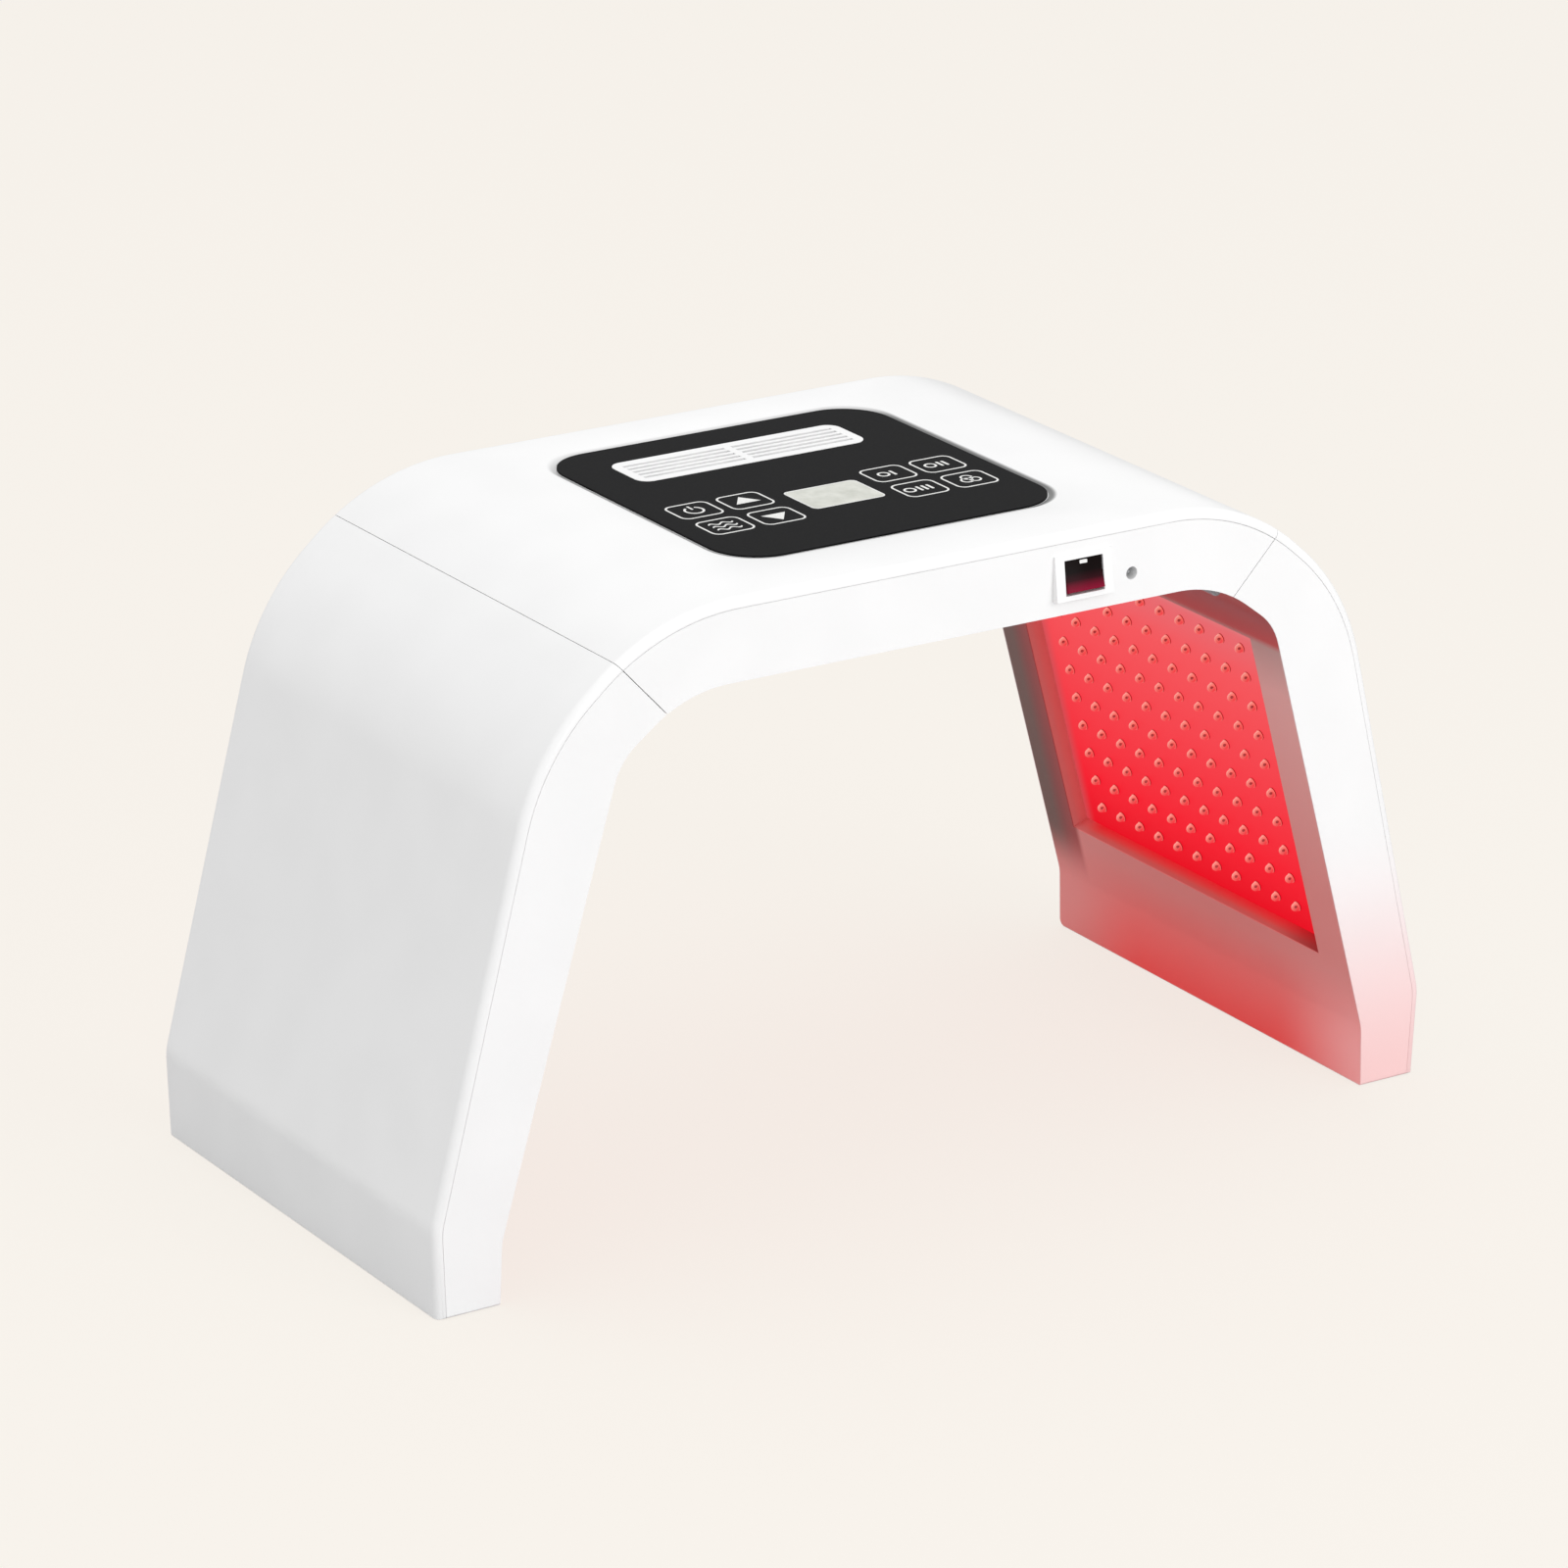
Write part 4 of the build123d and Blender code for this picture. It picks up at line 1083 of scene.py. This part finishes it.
lens.active_material_index = 1
bpy.ops.object.material_slot_assign()
pitch = lamp_pitch * MM
by_step = {"use_relative_offset": False, "use_constant_offset": True}
for count, step in ((along_count, (pitch, 0, 0)), (across_count, (0, pitch, 0))):
    use(lens, "ARRAY", count=count, constant_offset_displace=step, **by_step)
place(lens, (-(along_count - 1) / 2 * lamp_pitch, -(across_count - 1) / 2 * lamp_pitch, 0))
print(along_count * across_count, "lamps")


# %% The lamps of the three boards
def basis(x_axis, z_axis):
    """The turn that takes X and Z to two directions."""
    x_axis, z_axis = Vector(x_axis).normalized(), Vector(z_axis).normalized()
    y_axis = z_axis.cross(x_axis)
    return Matrix((x_axis, y_axis, z_axis)).transposed().to_4x4()


board_depth = 7.5
leg_down = Vector((leg_out.z, 0, -leg_out.x))
leg_point = Vector((206.27, 0, 146.72)) + leg_out * board_depth
right_turn = basis(leg_down, -leg_out)
left_turn = basis(leg_down * mirrored, -leg_out * mirrored)
lamp_groups = {
    "center": ((0, 0, 271.2 + board_depth), basis((1, 0, 0), (0, 0, -1)), "center"),
    "right": (leg_point, right_turn, "right_wing"),
    "left": (leg_point * mirrored, left_turn, "left_wing"),
}
for side, (point, turn, body) in lamp_groups.items():
    group = place(copy(lens, side + "_lenses"), point, turn)
    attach(group, body)
    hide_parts(side + "_led_lamps")
    print(group.name, len(group.data.polygons), "faces")
drop(lens)

# %% [markdown]
# The rocker tips about an axle in the switch housing. Its side profile is a drum
# with two flat faces that meet at a shallow ridge: the lower half stands out, so
# the switch is off at rest. The profile is drawn, pulled along the axle and its
# edges are rounded.

# %% Rocker of the power switch
bezel_lean = math.atan2(3.1, 21.0)
forward = Vector((0, -math.cos(bezel_lean), math.sin(bezel_lean)))
upward = Vector((0, math.sin(bezel_lean), math.cos(bezel_lean)))
pivot = Vector((67.4, -127.45 + 2.0 / math.cos(bezel_lean), 289.3))
rocker_radius = 7.62
rocker_half = 10.3
axle_length = 23.0


def drum(*angles):
    """Points of the rocker's round part, by their angle in degrees."""
    turns = [math.radians(angle) for angle in angles]
    return [(rocker_radius * math.cos(a), rocker_radius * math.sin(a)) for a in turns]


def at_an_end(edge):
    """Whether an edge lies in one of the rocker's two end faces."""
    first, last = (rocker.data.vertices[v].co.x for v in edge.vertices)
    return abs(first - last) < 1e-6 and abs(abs(first) - rocker_half * MM) < 1e-6


side_view = [(3.35, -6.9), (1.6, 0), (1.6, 7.55), *drum(100, 115)]
side_view += [(-4.5, 6.3), (-4.5, -6.3), *drum(-112, -97, -82, -70)]
rocker = draw("rocker", [(-rocker_half, u, v) for u, v in side_view + side_view[:1]])
weld()
bpy.ops.mesh.edge_face_add()
pull(2 * rocker_half, 0, 0)
edit(rocker)
grab("EDGE")
bpy.ops.mesh.normals_make_consistent(inside=False)
pick(rocker, at_an_end, "edges")
bpy.ops.mesh.bevel(offset=0.5 * MM, segments=3, clamp_overlap=True)
place(rocker, pivot, Matrix(((1, 0, 0), forward, upward)).to_4x4())
axle_start = pivot - Vector((axle_length / 2, 0, 0))
axle = place(rod("axle", 1.2, axle_length, 16), axle_start, Matrix.Rotation(math.pi / 2, 4, "Y"))
rocker = join([rocker, axle], "rocker")
dress(tidy(rocker), rocker_red)
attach(rocker, "rocker")
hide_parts("switch_rocker")
print(rocker.name, len(rocker.data.polygons), "faces")

# %% [markdown]
# A small white mark is printed at the top of the rocker. It shows which end is
# pressed when the lamps are on.

# %% Mark on the rocker
mark_at = pivot + forward * 1.6 + upward * 6.2
mark = place(plate("rocker_mark", 4.2, 1.7, 0.4, ink, 3), mark_at, basis((1, 0, 0), forward))
dress(tidy(mark, print_sharp), white_ink)
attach(mark, "rocker")
print(mark.name, [round(v / MM, 2) for v in mark.dimensions], "mm")

# %% [markdown]
# The pin in the middle of the power inlet is a plated tube with a rounded tip.
# It is turned: a circle pulled up, with its upper edge drawn in.

# %% Pin of the power inlet
jack_pin = rod("jack_pin", 1.03, 8.6, 16, 0.4)
place(jack_pin, (95.5, -113.9, 284.8), Matrix.Rotation(math.pi / 2, 4, "X"))
dress(tidy(jack_pin), zinc)
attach(jack_pin, "center")
print(jack_pin.name, [round(v / MM, 1) for v in jack_pin.dimensions], "mm")

# %% [markdown]
# Each wing hangs on two steel butt hinges. A leaf is cut from 1.4 mm sheet with
# round corners and three screw holes, and its end is rolled round the pin. Two of
# the three knuckles belong to the centre section and one to the wing. A leaf, a
# tab, a knuckle and a pin are made once and copied.

# %% Hinge leaf, tab, knuckle and pin
hinge_places = (-87.0, 87.0)
hinge_length = 50.0
knuckle_step = hinge_length / 3
knuckle_gap = 0.3
knuckle_length = knuckle_step - knuckle_gap
sheet = 1.4
leaf = plate("leaf", 18.1, 49.6, 2.0, sheet, 4, 0.2)
for hole_y in (-17, 0, 17):
    cut(leaf, rod("cutter", 1.6, 4, 16), (2, hole_y, -1))
tab = plate("tab", 2.6, knuckle_length, 0, sheet)
along_y = Matrix.Rotation(-math.pi / 2, 4, "X")
knuckle = place(arc_ring("knuckle", 3.2, 1.65, steps=24, rise=knuckle_length), turn=along_y)
print("leaf is", [round(v / MM, 1) for v in leaf.dimensions], "mm")

# %% Set the hinges in their seams
leaf_out, tab_out = 12.85, 2.9
off_seam = 0.2


def hinge_side(name, own, seam, climb, into):
    """The two leaves of one section at one seam, in place, with their own knuckles."""
    turn = basis(climb, into)
    parts = []
    for middle in hinge_places:
        leaf_at = seam + climb * leaf_out + into * off_seam + Vector((0, middle, 0))
        parts.append(place(copy(leaf, "leaf"), leaf_at, turn))
        for index in own:
            start = middle - hinge_length / 2 + index * knuckle_step + knuckle_gap / 2
            parts.append(place(copy(knuckle, "knuckle"), seam + Vector((0, start, 0))))
            tab_middle = Vector((0, start + knuckle_length / 2, 0))
            tab_at = seam + climb * tab_out + into * off_seam + tab_middle
            parts.append(place(copy(tab, "tab"), tab_at, turn))
    made = join(parts, name)
    dress(tidy(made), brushed)
    return made


left_up = seam_up * mirrored
center_hinges = hinge_side("center_hinges", (0, 2), seam_point, seam_up, -seam_normal)
center_left = hinge_side("center_left", (0, 2), left_point, left_up, -left_normal)
center_hinges = join([center_hinges, center_left], "center_hinges")
right_hinges = hinge_side("right_hinges", (1,), seam_point, seam_up, seam_normal)
left_hinges = hinge_side("left_hinges", (1,), left_point, left_up, left_normal)
for piece, body, cad in (
    (center_hinges, "center", "center_hinge_leaves"),
    (right_hinges, "right_wing", "right_hinge_leaves"),
    (left_hinges, "left_wing", "left_hinge_leaves"),
):
    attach(piece, body)
    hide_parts(cad)
drop(leaf, tab, knuckle)
for side, seam in (("right", seam_point), ("left", left_point)):
    spots = [seam + Vector((0, middle - hinge_length / 2, 0)) for middle in hinge_places]
    pins = repeat(rod("pin", 1.5, hinge_length, 20, 0.3), side + "_pins", spots, along_y)
    dress(tidy(pins), ground_steel)
    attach(pins, side + "_wing")
    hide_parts(side + "_hinge_pins")
print("hinges done")

# %% [markdown]
# The visible screws are pan heads with a cross recess, four in the underside of
# the centre section and two in each foot. One is turned and cut, then copied.

# %% Cross-head screws
screw = place(rod("screw", 2.8, 2.0, 28, 0.45), turn=upside_down)
for length, width in ((3.4, 0.8), (0.8, 3.4)):
    cut(screw, plate("cutter", length, width, 0, 1.2), (0, 0, -2.2))
screw = join([screw, rod("shank", 1.5, 13.0, 16, 0.5)], "screw")
dress(tidy(screw), zinc)
foot_spots = four(foot_screw_x, foot_screw_y, 2.6)
screw_groups = {
    "cover_screws": ("center", four(cover_screw, cover_screw, 273.4)),
    "right_foot_screws": ("right_wing", foot_spots[2:]),
    "left_foot_screws": ("left_wing", foot_spots[:2]),
}
for cad, (body, spots) in screw_groups.items():
    group = repeat(copy(screw, "one_screw"), cad + "_cross", spots)
    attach(group, body)
    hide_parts(cad)
drop(screw)
print("screws done")

# %% [markdown]
# The feet stand on moulded rubber pads, set 1 mm into the foot, with round
# corners and an eased lower edge.

# %% Foot pads
pad_thickness = 1.4
pad_spots = four(251.3, 45, pad_thickness)
for side, spots in (("right", pad_spots[2:]), ("left", pad_spots[:2])):
    pad = plate("pad", 16, 60, 2.0, pad_thickness, 5, 0.3)
    pads = repeat(pad, side + "_pads", spots, upside_down)
    dress(tidy(pads), rubber)
    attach(pads, side + "_wing")
    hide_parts(side + "_foot_pads")
print("pads done")

# %% [markdown]
# The parts inside and the switch housing, inlet and vent are shown as the CAD
# model has them. They only need the finish of what they are made of.

# %% Finishes of the parts that keep their CAD shape
looks = {
    white_abs: ("vent_grille", "switch_housing", "dc_jack"),
    inner_abs: ("lower_housing",),
    black_film: ("control_overlay", "display_lens"),
    lit_board: ("center_led_board", "right_led_board", "left_led_board"),
    green_mask: ("keypad_board", "driver_board"),
    black_nylon: ("key_switches", "display_module"),
    acetal: ("fan_frames", "fan_rotor_left", "fan_rotor_right", *("key_" + key for key in keys)),
    brass: ("board_standoffs", "switch_terminals"),
    zinc: ("center_board_screws", "right_board_screws", "left_board_screws"),
}
for surface, names in looks.items():
    for name in names:
        dress(nodes[name], surface)
bare = [
    name
    for name, piece in nodes.items()
    if not piece.hide_render and piece.data.materials[0] not in looks
]
print("nodes without a new finish:", bare)

# %% [markdown]
# The covers are white all over, apart from the right one with its painted pink glow
# at the foot and the sloped rim of the recess with its painted shade. The rim is
# found by its height and its slant.

# %% Finishes of the covers
dress(top_shell, white_abs, rim_abs)
dress(left_shell, white_abs)
dress(right_shell, lit_abs)
edit(top_shell, "FACE")
rim_low, rim_high = (recess_floor + 0.2) * MM, (top - 0.2) * MM
found = pick(
    top_shell,
    lambda face: rim_low < face.center.z < rim_high
    and 0.5 < face.normal.z < 0.99
    and over_recess(face.center, 4.5),
)
top_shell.active_material_index = 1
bpy.ops.object.material_slot_assign()
let_go()
print(found, "faces on the rim")

# %% [markdown]
# The studio: a pale warm floor and backdrop of one colour, an even sky, and soft
# lamps from the front right and from above.

# %% Floor
background = "F7F2EB"
let_go()
bpy.ops.mesh.primitive_plane_add(size=40)
floor = bpy.context.object
floor.name = "studio_floor"
floor_look, tree, shader = finish("pale studio floor", Roughness=0.9, Specular_IOR_Level=0.0)
seen = node(tree, "LightPath").outputs["Is Camera Ray"]
mixed = node(tree, "Mix", blend, Factor_Float=seen, A_Color="C4C4C4", B_Color="F4F0EA")
feed(tree, shader, Base_Color=mixed.outputs[2])
plain = node(tree, "Emission", Color=background).outputs["Emission"]
paler = node(tree, "Math", product, Value=seen, Value_001=0.85).outputs["Value"]
mixed = node(tree, "MixShader", Fac=paler, Shader=shader.outputs["BSDF"], Shader_001=plain)
feed(tree, tree.nodes["Material Output"], Surface=mixed.outputs["Shader"])
dress(floor, floor_look)
print(floor.name)

# %% Sky
world = bpy.data.worlds.new("studio")
bpy.context.scene.world = world
world.use_nodes = True
tree = world.node_tree
sky = tree.nodes["Background"]
feed(tree, sky, Color="FFFFFF", Strength=0.9)
backdrop = node(tree, "Background", Color=background, Strength=1.0).outputs["Background"]
rays = node(tree, "LightPath").outputs
straight, through = rays["Is Camera Ray"], rays["Is Transmission Ray"]
either = node(tree, "Math", {"operation": "MAXIMUM"}, Value=straight, Value_001=through)
seen = either.outputs["Value"]
mixed = node(tree, "MixShader", Fac=seen, Shader=sky.outputs["Background"], Shader_001=backdrop)
feed(tree, tree.nodes["World Output"], Surface=mixed.outputs["Shader"])
print("sky ready")


# %% Lamps
def soft_lamp(name, energy, size, at, target=(0, 0, 0.15)):
    """An area lamp at a place, turned to a target."""
    let_go()
    bpy.ops.object.light_add(type="AREA", location=at)
    lamp = bpy.context.object
    lamp.name = name
    lamp.data.energy = energy
    lamp.data.size = size
    toward = Vector(target) - Vector(at)
    lamp.rotation_euler = toward.to_track_quat("-Z", "Y").to_euler()


soft_lamp("front_lamp", 22, 1.6, (0.5, -2.4, 0.9))
soft_lamp("top_lamp", 6, 1.6, (-0.5, 0.1, 2.4))
print("lamps ready")

# %% [markdown]
# The camera stands at the front left, a little above, with a long lens, at the
# place worked out from the edges in the photograph.

# %% Camera
azimuth, elevation, roll = (math.radians(a) for a in (-33.30, 20.19, 0.61))
distance = 3.2396
target = Vector((-10.46, 0, 163.69)) * MM
focal_pixels, photo_pixels = 7073.15, 1600
level = Vector((math.sin(azimuth), -math.cos(azimuth), 0))
back = level * math.cos(elevation) + Vector((0, 0, math.sin(elevation)))
right = Vector((math.cos(azimuth), math.sin(azimuth), 0))
over = back.cross(right)
across = right * math.cos(roll) + over * math.sin(roll)
above = over * math.cos(roll) - right * math.sin(roll)
let_go()
bpy.ops.object.camera_add(location=target + back * distance)
camera = bpy.context.object
camera.rotation_euler = Matrix((across, above, back)).transposed().to_euler()
camera.data.lens = focal_pixels / photo_pixels * camera.data.sensor_width
camera.data.clip_start = 0.1
camera.data.clip_end = 100
bpy.context.scene.camera = camera
bpy.context.scene.view_settings.view_transform = "Standard"
print("lens", round(camera.data.lens, 1), "mm")
